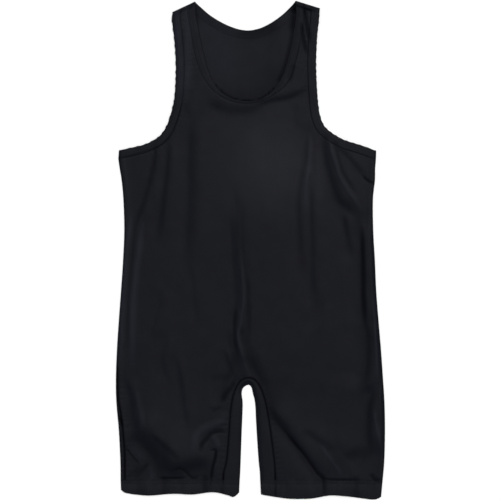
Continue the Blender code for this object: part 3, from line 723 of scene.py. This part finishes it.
def front_lift(points):
    """How far the front stands above the place where it would lie on the back."""
    side = least_distance(points, CLOSED_LINES)
    top = least_distance(points, STRAP_LINES)
    loose = OPEN_SHARE + (1 - OPEN_SHARE) * ease(least_distance(points, OPEN_LINES) / EDGE_RISE)
    loft = SIDE_LOFT + (LOFT - SIDE_LOFT) * ease(side / LOFT_RISE)
    lift = loose * (loft + swell_height(points)) + crease_sum(points, FRONT_LINES)
    kept = (lift + np.sqrt(lift * lift + SOFT_FLOOR**2)) / 2
    return ease(np.minimum(side, top) / EDGE_RISE) * kept


def back_lift(points):
    """How far the outside of the back stands off the surface."""
    drawn = np.maximum(crease_sum(points, BACK_LINES), 0)
    return np.minimum(drawn, BACK_SHARE * front_lift(points)) + crease_sum(points, ROLL_LINES)


def front_under(points):
    """Underside of the front panel. It comes down to the back at the closed seams."""
    apart = ease(least_distance(points, CLOSED_LINES) / EDGE_RISE)
    return CLOSED_REST + (BAND_REST - CLOSED_REST) * apart + front_lift(points)


def fold_shade(points):
    """Painted shade in the front's creases, and below zero painted highlight along them."""
    return np.clip(crease_sum(points, FRONT_LINES, crease_shade), LIGHTEST, DARKEST)


def ditch(distance):
    """How far a seam draws the cloth down beside it, as a share of its depth."""
    return np.clip(1 - distance / DITCH_WIDTH, 0, 1) ** 2


def puckers(points, line):
    """Small gathers that run out from a sewn line."""
    gap, place, _ = line.near(points)
    shift = drift(place, PUCKER_CHANGE, PUCKER_SEED)
    depth = PUCKER_DEPTH * (PUCKER_LEAST + np.abs(shift) * PUCKER_SPREAD)
    wave = np.sin(2 * math.pi * (place / PUCKER_PITCH + PUCKER_DRIFT * shift))
    return depth * np.exp(-gap / PUCKER_REACH) * wave


def roll_over(distance):
    """0 at a closed edge and 1 past its roll, as a quarter circle."""
    t = np.clip(distance / EDGE_ROLL, 0, 1)
    return np.sqrt(1 - (1 - t) ** 2)


def straight(start, end):
    count = max(2, round(np.linalg.norm(end - start) / EDGE_STEP) + 1)
    return np.linspace(start, end, count)


def seam_edges(neck_lines):
    """The panel's own edges along the neck, right armhole and left armhole bands."""
    neck = offset_path(neck_lines[1], SEAM_LAP)
    right_arm = offset_path(RIGHT_ARM[1], -SEAM_LAP)
    left_arm = offset_path(LEFT_ARM[1], SEAM_LAP)
    return neck, right_arm, left_arm


def below(path, top, end):
    """The points of a seam line that lie below the corners of a strap's end."""
    return path[top.depth(path) > max(top.depth(end[0]), top.depth(end[-1])) + EDGE_STEP]


def panel_runs(neck_lines, right_end, left_end):
    """The panel's edges, counterclockwise from the end of the right strap."""
    neck, right_arm, left_arm = seam_edges(neck_lines)
    neck = below(below(neck, RIGHT_TOP, right_end), LEFT_TOP, left_end)
    gusset = offset_path(GUSSET_SEAM, -SEAM_LAP)
    gusset[0, 1] = gusset[-1, 1] = LENGTH / 2 - HEM_TOP + LAYER_GAP
    return {
        "right_shoulder": right_end,
        "right_arm": below(right_arm, RIGHT_TOP, right_end),
        "right_side": RIGHT_SIDE[:-1],
        "right_hem": straight(RIGHT_SIDE[-1], gusset[0]),
        "gusset": gusset[1:-1],
        "left_hem": straight(gusset[-1], LEFT_SIDE[-1]),
        "left_side": LEFT_SIDE[-2::-1],
        "left_arm": below(left_arm, LEFT_TOP, left_end)[::-1],
        "left_shoulder": left_end[::-1],
        "neck": neck[::-1],
    }


def inside(points, outline):
    """Which points lie inside a closed outline."""
    found = np.zeros(len(points), bool)
    for (ax, ay), (bx, by) in zip(outline, np.roll(outline, -1, axis=0)):
        spans = (ay > points[:, 1]) != (by > points[:, 1])
        if spans.any():
            crossing = ax + (points[:, 1] - ay) * (bx - ax) / (by - ay + 1e-12)
            found ^= spans & (points[:, 0] < crossing)
    return found


def cut_sheet(outline, step, folds=()):
    """A flat triangulated sheet inside the outline, with close rows along its edge and folds."""
    low, high = outline.min(axis=0), outline.max(axis=0)
    rows = np.arange(low[1], high[1], step * math.sqrt(3) / 2)
    columns = np.arange(low[0], high[0], step)
    grid = np.array([(x + step / 2 * (k % 2), y) for k, y in enumerate(rows) for x in columns])
    ring = np.vstack([outline, outline[:1]])
    edge = Line(ring)
    grid = grid[inside(grid, outline)]
    grid = grid[edge.distance(grid) > EDGE_ROWS[-1] + step / 3]
    for path in folds:
        grid = grid[Line(path).distance(grid) > FOLD_ROWS[-1] + step / 3]
    spots = [outline, grid]
    for path in folds:
        near = np.vstack([offset_path(path, row) for row in FOLD_ROWS])
        near = near[inside(near, outline)]
        spots.append(near[edge.distance(near) > EDGE_ROWS[-1] + step / 3])
    for row in EDGE_ROWS:
        near = offset_path(ring, row)[:-1]
        near = near[inside(near, outline)]
        spots.append(near[edge.distance(near) > EDGE_CLEAR * row])
    points = [Vector(point) for point in np.vstack(spots)]
    found = delaunay_2d_cdt(points, [], [list(range(len(outline)))], 1, WELD)
    return np.array([tuple(point) for point in found[0]]), np.array(found[2])


def add_object(name, data):
    made = bpy.data.objects.new(name, data)
    bpy.context.scene.collection.objects.link(made)
    return made


def make_piece(name, spots, faces, finish, grain, painted_shade):
    """A smooth-shaded object of points in millimetres, riding on the part's one body, with painted shade
    per point, below zero painted highlight.
    """
    mesh = bpy.data.meshes.new(name)
    mesh.from_pydata(np.asarray(spots) * MM, [], faces)
    mesh.shade_smooth()
    mesh.set_sharp_from_angle(angle=math.radians(SMOOTH_ANGLE))
    grain = np.column_stack([grain, np.zeros(len(grain))]).astype(np.float32)
    mesh.attributes.new("grain", "FLOAT_VECTOR", "POINT").data.foreach_set("vector", grain.ravel())
    # Per-point painted shade, which darkens the colour, and below zero painted highlight, which lightens
    # it.
    painted_shade = np.asarray(painted_shade, np.float32)
    mesh.attributes.new("painted_shade", "FLOAT", "POINT").data.foreach_set("value", painted_shade)
    mesh.materials.append(MATERIALS[finish])
    piece = add_object(name, mesh)
    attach(piece, "root")
    return piece


def shell_of(upper, lower, rim):
    """Points and faces of a closed wall between two sheets whose first points are its rim."""
    count = len(upper[0])
    near = np.arange(rim)
    far = np.roll(near, -1)
    faces = upper[1].tolist() + (lower[1][:, ::-1] + count).tolist()
    faces += np.column_stack([far, near, near + count, far + count]).tolist()
    return np.vstack([upper[0], lower[0]]), faces


def tube_faces(rows, columns):
    """Quads that skin a closed ring of closed sections, section by section."""
    index = np.arange(rows * columns).reshape(rows, columns)
    after = np.roll(index, -1, axis=0)
    beside = np.roll(index, -1, axis=1)
    both = np.roll(after, -1, axis=1)
    return np.stack([index, beside, both, after], axis=-1).reshape(-1, 4)


def strip_faces(rows, columns):
    """Quads that skin an open run of closed sections, with a cap at each end."""
    index = np.arange(rows * columns).reshape(rows, columns)
    half = columns // 2
    caps = np.stack([
        index[:, :half - 1], index[:, 1:half], index[:, -2:half - 1:-1], index[:, -1:half:-1],
    ], axis=-1)
    return np.vstack([tube_faces(rows, columns)[:-columns], caps[0, :, ::-1], caps[-1]])


def face_out(spots, faces):
    """The faces again, turned so that the closed shape's volume is above zero."""
    a, b, c, d = (spots[faces[:, k]] for k in range(4))
    volume = (a * np.cross(b, c)).sum() + (a * np.cross(c, d)).sum()
    return faces if volume > 0 else faces[:, ::-1]


# Materials.


class Graph:
    """Short ways of adding nodes to a node tree."""

    def __init__(self, tree):
        self.tree = tree

    def feed(self, node, given):
        """Links outputs to a node's sockets, or gives the sockets values."""
        for socket, source in dict(given).items():
            if hasattr(source, "is_output"):
                self.tree.links.new(source, node.inputs[socket])
            else:
                node.inputs[socket].default_value = source

    def node(self, kind, given=(), **settings):
        made = self.tree.nodes.new("ShaderNode" + kind)
        for name, value in settings.items():
            setattr(made, name, value)
        self.feed(made, given)
        return made

    def math(self, operation, *values):
        return self.node("Math", enumerate(values), operation=operation).outputs[0]

    def uneven(self, vector, stretch):
        """Noise about zero, stretched over the vector."""
        place = self.node("Mapping", {"Vector": vector, "Scale": stretch}).outputs["Vector"]
        cloud = self.node("TexNoise", {"Vector": place, "Scale": 1}).outputs["Fac"]
        return self.math("SUBTRACT", cloud, 0.5)


def new_group(name, inputs, outputs):
    """An empty node group: its graph, the sockets it is given and its node of results."""
    tree = bpy.data.node_groups.new(name, "ShaderNodeTree")
    for way, sockets in (("INPUT", inputs), ("OUTPUT", outputs)):
        for socket, kind in sockets:
            tree.interface.new_socket(socket, in_out=way, socket_type="NodeSocket" + kind)
    return Graph(tree), tree.nodes.new("NodeGroupInput").outputs, tree.nodes.new("NodeGroupOutput")


def knit_loops():
    """Columns of V-shaped knit loops. Grain is in millimetres, across and along the columns."""
    graph, given, result = new_group(
        "knit_loops",
        [("Grain", "Vector"), ("Column", "Float"), ("Row", "Float")],
        [("Height", "Float")],
    )
    split = graph.node("SeparateXYZ", {"Vector": given["Grain"]}).outputs
    across = graph.math("FRACT", graph.math("DIVIDE", split["X"], given["Column"]))
    across = graph.math("SUBTRACT", across, 0.5)
    slant = graph.math("MULTIPLY", graph.math("ABSOLUTE", across), LOOP_SLANT)
    along = graph.math("DIVIDE", split["Y"], given["Row"])
    phase = graph.math("MULTIPLY", graph.math("ADD", along, slant), 2 * math.pi)
    loops = graph.math("MULTIPLY_ADD", graph.math("SINE", phase), LOOP_WAVE, LOOP_BASE)
    column = graph.math("COSINE", graph.math("MULTIPLY", across, math.pi))
    graph.feed(result, {"Height": graph.math("MULTIPLY", column, loops)})
    return graph.tree


def cloth_tone_and_shade():
    """Uneven tone of dyed knit, soft clouds and faint streaks along the columns, times painted shade in
    creases, seams and the neck, which below zero is painted highlight.
    """
    graph, given, result = new_group(
        "cloth_tone_and_shade",
        [("Grain", "Vector"), ("PaintedShade", "Float"), ("Cloud", "Float"), ("Streak", "Float")],
        [("ToneAndShade", "Float"), ("Dullness", "Float")],
    )
    cloud = graph.math("MULTIPLY", graph.uneven(given["Grain"], CLOUD_STRETCH), given["Cloud"])
    streak = graph.math("MULTIPLY", graph.uneven(given["Grain"], STREAK_STRETCH), given["Streak"])
    uneven = graph.math("ADD", graph.math("ADD", cloud, streak), 1)
    light = graph.math("MULTIPLY_ADD", given["PaintedShade"], -1, 1)
    deep = graph.math("MULTIPLY", graph.math("MAXIMUM", given["PaintedShade"], 0), PAINTED_SHADE_DULL)
    graph.feed(result, {
        "ToneAndShade": graph.math("MULTIPLY", uneven, light),
        "Dullness": graph.math("MULTIPLY_ADD", cloud, CLOUD_DULL, deep),
    })
    return graph.tree


LOOPS = knit_loops()
TONE_AND_SHADE = cloth_tone_and_shade()


def cloth_material(name, finish):
    material = bpy.data.materials.new(name)
    material.use_nodes = True
    graph = Graph(material.node_tree)
    grain = graph.node("Attribute", attribute_name="grain").outputs["Vector"]
    painted_shade = graph.node("Attribute", attribute_name="painted_shade").outputs["Fac"]
    tone = {"Grain": grain, "PaintedShade": painted_shade, "Cloud": finish.cloud, "Streak": finish.streak}
    shade = graph.node("Group", tone, node_tree=TONE_AND_SHADE).outputs
    # The base colour is multiplied by the tone, which carries the painted shade and highlight.
    tinted = {"Factor": 1, 6: (*finish.colour, 1), 7: shade["ToneAndShade"]}
    loops = {"Grain": grain, "Column": finish.column, "Row": finish.row}
    knit = {
        "Strength": LOOP_BUMP,
        "Distance": finish.depth * MM,
        "Height": graph.node("Group", loops, node_tree=LOOPS).outputs["Height"],
    }
    graph.feed(material.node_tree.nodes["Principled BSDF"], {
        "Base Color": graph.node("Mix", tinted, data_type="RGBA", blend_type="MULTIPLY").outputs[2],
        "Roughness": graph.math("ADD", shade["Dullness"], finish.roughness),
        "Normal": graph.node("Bump", knit).outputs["Normal"],
        "Specular IOR Level": finish.gloss,
    })
    return material


MATERIALS = {name: cloth_material(name, finish) for name, finish in FINISHES.items()}


# Stitching.


def stitches(path):
    """Points and faces of a row of straight stitches along a path of points in space."""
    run = distance_along(path)
    starts = np.arange(STITCH_PITCH / 2, run[-1] - STITCH_PITCH, STITCH_PITCH)
    first, last = (
        np.column_stack([np.interp(at, run, column) for column in path.T])
        for at in (starts, starts + STITCH_LENGTH)
    )
    along = unit(last - first)
    side = unit(np.cross(along, NEAR_UP))
    up = np.cross(side, along)
    ring = []
    for share, size in STITCH_SECTIONS:
        middle = first + share * (last - first)
        for k in range(STITCH_SIDES):
            turn = 2 * math.pi * k / STITCH_SIDES
            ring.append(middle + THREAD_RADIUS * size * (math.cos(turn) * side + math.sin(turn) * up))
    faces = strip_faces(len(STITCH_SECTIONS), STITCH_SIDES)
    shifts = len(ring) * np.arange(len(starts))[:, None, None]
    return np.stack(ring, axis=1).reshape(-1, 3), (faces + shifts).reshape(-1, 4)


def sew(name, rows):
    """One object of all the stitches along the given paths."""
    spots, faces, count = [], [], 0
    for row in rows:
        made, quads = stitches(row)
        spots.append(made)
        faces.append(quads + count)
        count += len(made)
    spots = np.vstack(spots)
    faces = face_out(spots, np.vstack(faces))
    piece = make_piece(name, spots, faces.tolist(), "sewing_thread", spots[:, :2], np.zeros(count))
    return piece


def surface_path(flat, height):
    return np.column_stack([flat, height(flat)])


# Panels.


def sewn_lines(runs):
    return [(Line(runs[seam.run]), seam) for seam in SEAMS]


def side_rim(distance):
    """The springy rim along a folded side, which stands a little above the cloth beside it."""
    return RIM_HEIGHT * np.clip(1 - distance / RIM_REACH, 0, 1) ** 2


def front_top(flat, seams):
    """Height of the front panel's outside."""
    side = least_distance(flat, SIDE_LINES)
    top = front_under(flat) + CLOTH + side_rim(side)
    for line, seam in seams:
        top += puckers(flat, line) - seam.depth * ditch(line.distance(flat))
    edge = CLOSED_REST + SIDE_SPLIT / 2
    return edge + (top - edge) * roll_over(side)


def wall(flat):
    """Thickness of a panel, which thins where it rolls over at the sides."""
    return CLOTH * np.maximum(roll_over(least_distance(flat, SIDE_LINES)), EDGE_WALL)


def front_shade(flat, seams):
    """How dark the front is painted in its creases and along its seams: painted shade, and painted
    highlight where the creases' shade is below zero.
    """
    light = 1 - fold_shade(flat)
    for line, seam in seams:
        light *= 1 - seam.shade * soft_line(line.distance(flat), seam.width)
    return 1 - light


def shoulder_rows():
    """Rows of stitches along the left shoulder seam, over the neck band and over the strap."""
    rows = []
    for needle in SHOULDER_NEEDLES:
        depth = SHOULDER_AXIS + LEFT_STRAP.turnover + needle
        edges = NECK_FRONT[0], NECK_FRONT[1], LEFT_ARM[1]
        free, neck, arm = (LEFT_TOP.cross(edge, depth) for edge in edges)
        for row, top in ((straight(free, neck), 2 * ROLL), (straight(neck, arm), BAND_REST + CLOTH)):
            rows.append(np.column_stack([row, front_lift(row) + top]))
    return rows


def front_panel():
    neck, right_arm, left_arm = seam_edges(NECK_FRONT)
    right_end = np.array(RIGHT_TOP.front_end(neck, right_arm, -SEAM_LAP))
    left_end = np.array(LEFT_TOP.front_end(neck, left_arm, -SEAM_LAP))
    runs = panel_runs(NECK_FRONT, straight(*right_end), straight(*left_end))
    outline = np.vstack(list(runs.values()))
    turned = Line(smooth_path(plan_path(TURNED_SEAM), EDGE_STEP))
    seams = sewn_lines(runs) + [(turned, TURNED)]
    folds = [line.path for crease, line in FRONT_LINES if crease.crisp >= SHARP]
    seen, seen_faces = cut_sheet(outline, GRID_STEP, folds + [turned.path])
    hidden, hidden_faces = cut_sheet(outline, HIDDEN_GRID_STEP)
    outer = np.column_stack([seen, front_top(seen, seams)])
    inner = np.column_stack([hidden, front_top(hidden, seams) - wall(hidden)])
    spots, faces = shell_of((outer, seen_faces), (inner, hidden_faces), len(outline))
    # Painted shade and highlight on the outside only.
    shade = np.append(front_shade(seen, seams), np.zeros(len(hidden)))
    piece = make_piece("singlet_front", spots, faces, "body_knit", spots[:, :2], shade)
    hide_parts("front_panel")
    rows = [offset_path(path, SEAM_NEEDLE) for path in (GUSSET_SEAM, turned.path)]
    rows = [np.column_stack([row, front_top(row, seams)]) for row in rows]
    thread = sew("singlet_front_stitches", rows + shoulder_rows())


def back_pattern():
    """The back's edges, its straps lengthened by what turns over the shoulders."""
    front_neck, right_arm, left_arm = seam_edges(NECK_FRONT)
    ends = []
    for top, arm in ((RIGHT_TOP, right_arm), (LEFT_TOP, left_arm)):
        neck_end, arm_end = top.panel
        bend = top.outward * np.linspace(0, SHOULDER_TURN, TURN_STEPS)[:, None]
        arm_side, neck_side = arm_end + bend, neck_end + bend[::-1]
        across = straight(arm_side[-1], neck_side[0])[1:-1]
        if top.turnover:
            far = np.array(top.front_end(front_neck, arm, 0))
            far = far + top.outward * (2 * top.turnover + SHOULDER_TURN)
            across = straight(far[1], far[0])
        ends.append(np.vstack([arm_side, across, neck_side])[::-1])
    return panel_runs(NECK_BACK, *ends)


def turn_over(flat, top):
    """Bends what lies past a strap's top over the shoulder: plan and height of both faces."""
    past = -top.depth(flat) + SHOULDER_AXIS
    near = np.linalg.norm(flat - np.mean(top.panel, axis=0), axis=1) < STRAP_REACH
    bent = near & (past > 0)
    base = flat - past[:, None] * top.outward
    angle = np.minimum(past * math.pi / SHOULDER_TURN, math.pi)
    down = np.maximum(past - SHOULDER_TURN, 0)
    faces = []
    for radius in (SHOULDER_AXIS, SHOULDER_AXIS - CLOTH):
        reach = radius * np.sin(angle) - down
        height = SHOULDER_AXIS - radius * np.cos(angle)
        faces.append((base + reach[:, None] * top.outward, height))
    return bent, faces, down


def painted_neck_shade(points):
    """Painted shade inside the neck; below zero, painted light."""
    return np.clip(sum(
        wedge.depth * soft_line(Line(plan_path(wedge.path)).distance(points), wedge.width)
        for wedge in PAINTED_NECK_SHADES
    ), LIGHTEST, DARKEST_CORNER)


def back_panel():
    runs = back_pattern()
    outline = np.vstack(list(runs.values()))
    tops = (RIGHT_TOP, LEFT_TOP)
    bends = [straight(*np.add(top.panel, top.outward * SHOULDER_TURN / 2)) for top in tops]
    flat, triangles = cut_sheet(outline, BACK_GRID_STEP, bends)
    drawn = sum(seam.depth * ditch(line.distance(flat)) for line, seam in sewn_lines(runs))
    lift = back_lift(flat)
    rise = (CLOTH - SIDE_SPLIT / 2) * (1 - roll_over(least_distance(flat, SIDE_LINES)))
    outer = np.column_stack([flat, lift + drawn + rise])
    inner = np.column_stack([flat, lift + wall(flat) + rise])
    # Painted shade of the creases on the turned straps, and inside the neck on the inner face.
    shade = np.zeros(len(flat))
    for top in tops:
        bent, faces, down = turn_over(flat, top)
        shade[bent] = fold_shade(faces[0][0][bent])
        for spots, (place, height) in zip((outer, inner), faces):
            raised = front_lift(place[bent]) * (down[bent] > 0)
            spots[bent] = np.column_stack([place[bent], height[bent] + raised])
        outer[bent, 2] -= drawn[bent] * (down[bent] > 0)
    spots, faces = shell_of((inner, triangles), (outer, triangles), len(outline))
    shade = np.append(painted_neck_shade(flat), shade)
    piece = make_piece("singlet_back", spots, faces, "body_knit", np.vstack([flat, flat]), shade)
    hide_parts("back_panel")
    row = surface_path(offset_path(GUSSET_SEAM, SEAM_NEEDLE), back_lift)
    thread = sew("singlet_back_stitches", [row + (0, 0, THREAD_SINK)])


# Bindings and hems. side is the side of its path, 1 left or -1 right, that a scallop above zero
# moves the free edge to. scallop and pitch are the height and length of its waves. start_out and
# end_out are the ways in which the ends turn over.

BINDINGS = table(Binding, (
    ("neck_binding", "neck_band", NECK_FRONT, NECK_BACK, 1, 0.25, 9.0,
        RIGHT_TOP.outward, LEFT_TOP.outward),
    ("right_armhole_binding", "armhole_band_right", RIGHT_ARM, RIGHT_ARM, -1, 0.7, 12.0,
        RIGHT_TOP.outward, -ACROSS),
    ("left_armhole_binding", "armhole_band_left", LEFT_ARM, LEFT_ARM, 1, 0.6, 10.0,
        LEFT_TOP.outward, ACROSS),
))
HEMS = table(Hem, (
    ("right_leg_hem", "leg_hem_right", RIGHT_HEM, INNER_LEG[0].fold_x, SIDE_SEAMS[-1].right),
    ("left_leg_hem", "leg_hem_left", LEFT_HEM, INNER_LEG[-1].fold_x, SIDE_SEAMS[-1].left),
))


def band_stations(width):
    """Distances from a band's free edge, over its outside and back along its inside."""
    outer = list(BAND_EDGE)
    for row in NEEDLE_ROWS[::-1]:
        outer += [width - row - DIMPLE_REACH, width - row, width - row + DIMPLE_REACH]
    outer += [width - BAND_SEAM, width]
    inner = [width - BAND_SEAM, width - BAND_INSIDE[0], width / 2, *BAND_INSIDE]
    return np.array(outer + inner), len(outer)


def band_radius(station, width, count, drop):
    """Each station's distance from the axis that the band turns about, outside and inside."""
    edge = np.clip(station / (BAND / 2), 0, 1)
    seam = np.clip((width - station) / (BAND / 4), 0, 1)
    half = BAND / 2 * np.sqrt(1 - (1 - edge) ** 2) * (1 - drop * (1 - np.sqrt(1 - (1 - seam) ** 2)))
    dimples = sum(soft_line(width - station - row, DIMPLE_WIDTH) for row in NEEDLE_ROWS)
    middle = ROLL - BAND / 2
    outer = middle + half - DIMPLE_DEPTH * dimples
    inner = middle - half
    return np.where(np.arange(len(station)) < count, outer, inner)


def ring_spots(lines, angle, outward, lift, width, drop):
    """Rows of section points for a stretch of band: its half of the ring, or one turn's row."""
    free, seam = lines
    station, count = band_stations(width)
    radius = band_radius(station, width, count, drop)
    share = (station / width)[None, :, None]
    spots = free[:, None, :] * (1 - share) + seam[:, None, :] * share
    reach = (radius * math.sin(angle))[None, :, None] * np.asarray(outward)
    flat = (spots + reach).reshape(-1, 2)
    height = np.tile(ROLL + radius * math.cos(angle), len(free)) + lift(spots.reshape(-1, 2))
    return np.column_stack([flat, height]).reshape(len(free), len(station), 3)


def no_lift(points):
    return np.zeros(len(points))


def ring_band(front, back, start_out, end_out, width=BAND_WIDTH, drop=BAND_DROP):
    """A flattened ring: front half, turn at its far end, back half, turn at its start."""
    angles = [math.pi * k / TURN_STEPS for k in range(1, TURN_STEPS)]
    start = [edge[:1] for edge in front]
    end = [edge[-1:] for edge in front]
    under = [edge[::-1] for edge in back]
    rows = [ring_spots(front, 0, (0, 0), front_lift, width, drop)]
    rows += [ring_spots(end, angle, end_out, no_lift, width, drop) for angle in angles]
    rows += [ring_spots(under, math.pi, (0, 0), back_lift, width, drop)]
    rows += [ring_spots(start, angle, start_out, no_lift, width, drop) for angle in angles[::-1]]
    return np.vstack(rows)


def needle_paths(sections, width):
    """The paths along a band's dimples, from its sections."""
    station, count = band_stations(width)
    columns = [np.argmin(np.abs(station[:count] - (width - row))) for row in NEEDLE_ROWS]
    return [sections[:, column] for column in columns]


def band_piece(name, node, slot, sections, front_rows, width=BAND_WIDTH):
    rows, columns = sections.shape[:2]
    spots = sections.reshape(-1, 3)
    faces = face_out(spots, tube_faces(rows, columns))
    run = distance_along(sections.mean(axis=1))
    station, count = band_stations(width)
    grain = np.stack(np.broadcast_arrays(run[:, None], station[None, :]), axis=-1).reshape(-1, 2)
    front = front_rows * columns
    # Painted shade and highlight of the creases on the front half, painted shade inside the neck on the
    # back half's inside.
    shade = np.append(fold_shade(spots[:front, :2]), painted_neck_shade(spots[front:, :2]))
    shade[front:] *= np.tile(np.arange(columns) >= count, rows - front_rows)
    piece = make_piece(name, spots, faces.tolist(), slot, grain, shade)
    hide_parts(node)
    thread = sew(name + "_stitches", needle_paths(sections, width))


def scalloped(lines, side, height, pitch):
    """The lines with the free edge drawn in between its stitches."""
    free, seam = lines
    place = distance_along(free)
    shift = drift(place, SCALLOP_CHANGE, SCALLOP_SEED)
    wave = height * np.sin(2 * math.pi * (place / pitch + shift))
    wave *= SCALLOP_LEAST + np.abs(shift) * SCALLOP_SPREAD
    keep = ease(place / SCALLOP_FADE) * ease((place[-1] - place) / SCALLOP_FADE)
    return offset_path(free, side * wave * keep), seam


def hem_lines(bottom, inner_x, outer_x):
    """A leg hem's free edge and seam line, from the inner leg to the side."""
    inset = ROLL * math.copysign(1, outer_x)
    low = smooth_path(plan_path(bottom), EDGE_STEP)
    if abs(low[0][0]) > abs(low[-1][0]):
        low = low[::-1]
    low[0][0] += inset
    low[-1][0] -= inset
    x = np.linspace(inner_x + inset, outer_x - inset, len(low))
    seam = np.column_stack([x, np.full(len(low), LENGTH / 2 - HEM_TOP + LAYER_GAP + SEAM_LAP)])
    return low, seam


# Inner leg strip.


def strip_top(points):
    return front_under(points) + CLOTH - GUSSET_DITCH * ditch(GUSSET_LINE.distance(points))


def strip_bottom(points):
    return back_lift(points) + GUSSET_DITCH * ditch(GUSSET_LINE.distance(points))


def back_inside(points):
    return back_lift(points) + CLOTH


def gusset_strip():
    """The strip folded round the inner legs, as one closed wall."""
    axis = (CLOSED_REST + CLOTH) / 2
    width = np.linalg.norm(GUSSET_SEAM - INNER_FOLD, axis=1)
    inward = (GUSSET_SEAM - INNER_FOLD) / width[:, None]
    level = [INNER_FOLD + inward * (share * width)[:, None] for share in STRIP_SHARES]
    outer = (axis, strip_top, strip_bottom)
    inner = (axis - CLOTH, front_under, back_inside)
    walls = []
    for radius, top, bottom in (outer, inner):
        rows = [surface_path(path, top) for path in level]
        for k in range(STRIP_TURNS + 1):
            angle = math.pi * k / STRIP_TURNS
            path = INNER_FOLD + inward * (axis - radius * math.sin(angle))
            rows.append(np.column_stack([path, np.full(len(path), axis + radius * math.cos(angle))]))
        walls.append(rows + [surface_path(path, bottom) for path in level[::-1]])
    return np.stack(walls[0] + walls[1][::-1], axis=1)


def gusset_piece():
    sections = gusset_strip()
    spots = sections.reshape(-1, 3)
    flat = spots[:, :2]
    faces = face_out(spots, strip_faces(*sections.shape[:2]))
    # Painted shade along the seam and in the creases, on the strip's outside.
    seam = GUSSET_SHADE * soft_line(GUSSET_LINE.distance(flat), GUSSET_SHADE_WIDTH)
    shade = np.where(spots[:, 2] > CLOSED_REST, fold_shade(flat) + seam, 0)
    piece = make_piece("inner_leg_strip", spots, faces.tolist(), "body_knit", flat, shade)
    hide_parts("inner_leg_gusset")
    row = offset_path(GUSSET_SEAM, -SEAM_NEEDLE)
    rows = [surface_path(row, strip_top), surface_path(row, strip_bottom) + (0, 0, THREAD_SINK)]
    thread = sew("inner_leg_stitches", rows)


# Put together.


def make_pieces():
    front_panel()
    back_panel()
    gusset_piece()
    for row in BINDINGS:
        edge = scalloped(row.front, row.side, row.scallop, row.pitch)
        sections = ring_band(edge, row.back, row.start_out, row.end_out)
        band_piece(row.name, row.node, "binding_knit", sections, len(row.front[0]))
    for row in HEMS:
        lines = hem_lines(row.bottom, row.inner_x, row.outer_x)
        out = ACROSS * math.copysign(1, row.outer_x)
        width = float(np.mean(np.linalg.norm(lines[0] - lines[1], axis=1)))
        sections = ring_band(lines, lines, -out, out, width, HEM_DROP)
        band_piece(row.name, row.node, "hem_knit", sections, len(lines[0]), width)


def make_stage():
    mesh = bpy.data.meshes.new("floor")
    corners = [(-1, -1), (1, -1), (1, 1), (-1, 1)]
    corners = [(x * FLOOR_REACH, y * FLOOR_REACH, FLOOR_HEIGHT) for x, y in corners]
    mesh.from_pydata(corners, [], [(0, 1, 2, 3)])
    material = bpy.data.materials.new("pale_floor")
    material.use_nodes = True
    shader = material.node_tree.nodes["Principled BSDF"]
    shader.inputs["Base Color"].default_value = (*FLOOR_COLOUR, 1)
    shader.inputs["Roughness"].default_value = FLOOR_ROUGHNESS
    shader.inputs["Specular IOR Level"].default_value = FLOOR_GLOSS
    mesh.materials.append(material)
    floor = add_object("floor", mesh)


def add_light(name, kind, place, aim, power):
    light = bpy.data.lights.new(name, kind)
    light.energy = power
    holder = add_object(name, light)
    holder.location = place
    holder.rotation_euler = (Vector(aim) - Vector(place)).to_track_quat("-Z", "Y").to_euler()
    return light


def make_lights():
    tilt = math.radians(KEY_TILT)
    heading = math.radians(KEY_HEADING)
    side = math.sin(tilt)
    place = (side * math.cos(heading), side * math.sin(heading), math.cos(tilt))
    key = add_light("key", "SUN", place, (0, 0, 0), KEY_POWER)
    key.angle = math.radians(KEY_SPREAD)
    for k, spot in enumerate(SPOTS):
        glow = add_light(f"chest_{k}", "SPOT", SPOT_PLACE, (spot.aim_x, spot.aim_y, 0), spot.power)
        glow.spot_size = spot.angle
        glow.spot_blend = 1.0
        glow.shadow_soft_size = SPOT_RADIUS
    world = bpy.data.worlds.new("studio")
    world.use_nodes = True
    world.node_tree.nodes["Background"].inputs["Color"].default_value = (1, 1, 1, 1)
    world.node_tree.nodes["Background"].inputs["Strength"].default_value = FILL_POWER
    bpy.context.scene.world = world


def make_camera():
    camera = bpy.data.cameras.new("camera")
    camera.sensor_width = SENSOR
    camera.lens = SENSOR * CAMERA_PLACE[2] / FRAME_WIDTH
    holder = add_object("camera", camera)
    holder.location = CAMERA_PLACE
    bpy.context.scene.camera = holder


make_pieces()
make_stage()
make_lights()
make_camera()
bpy.context.scene.view_settings.view_transform = "Standard"
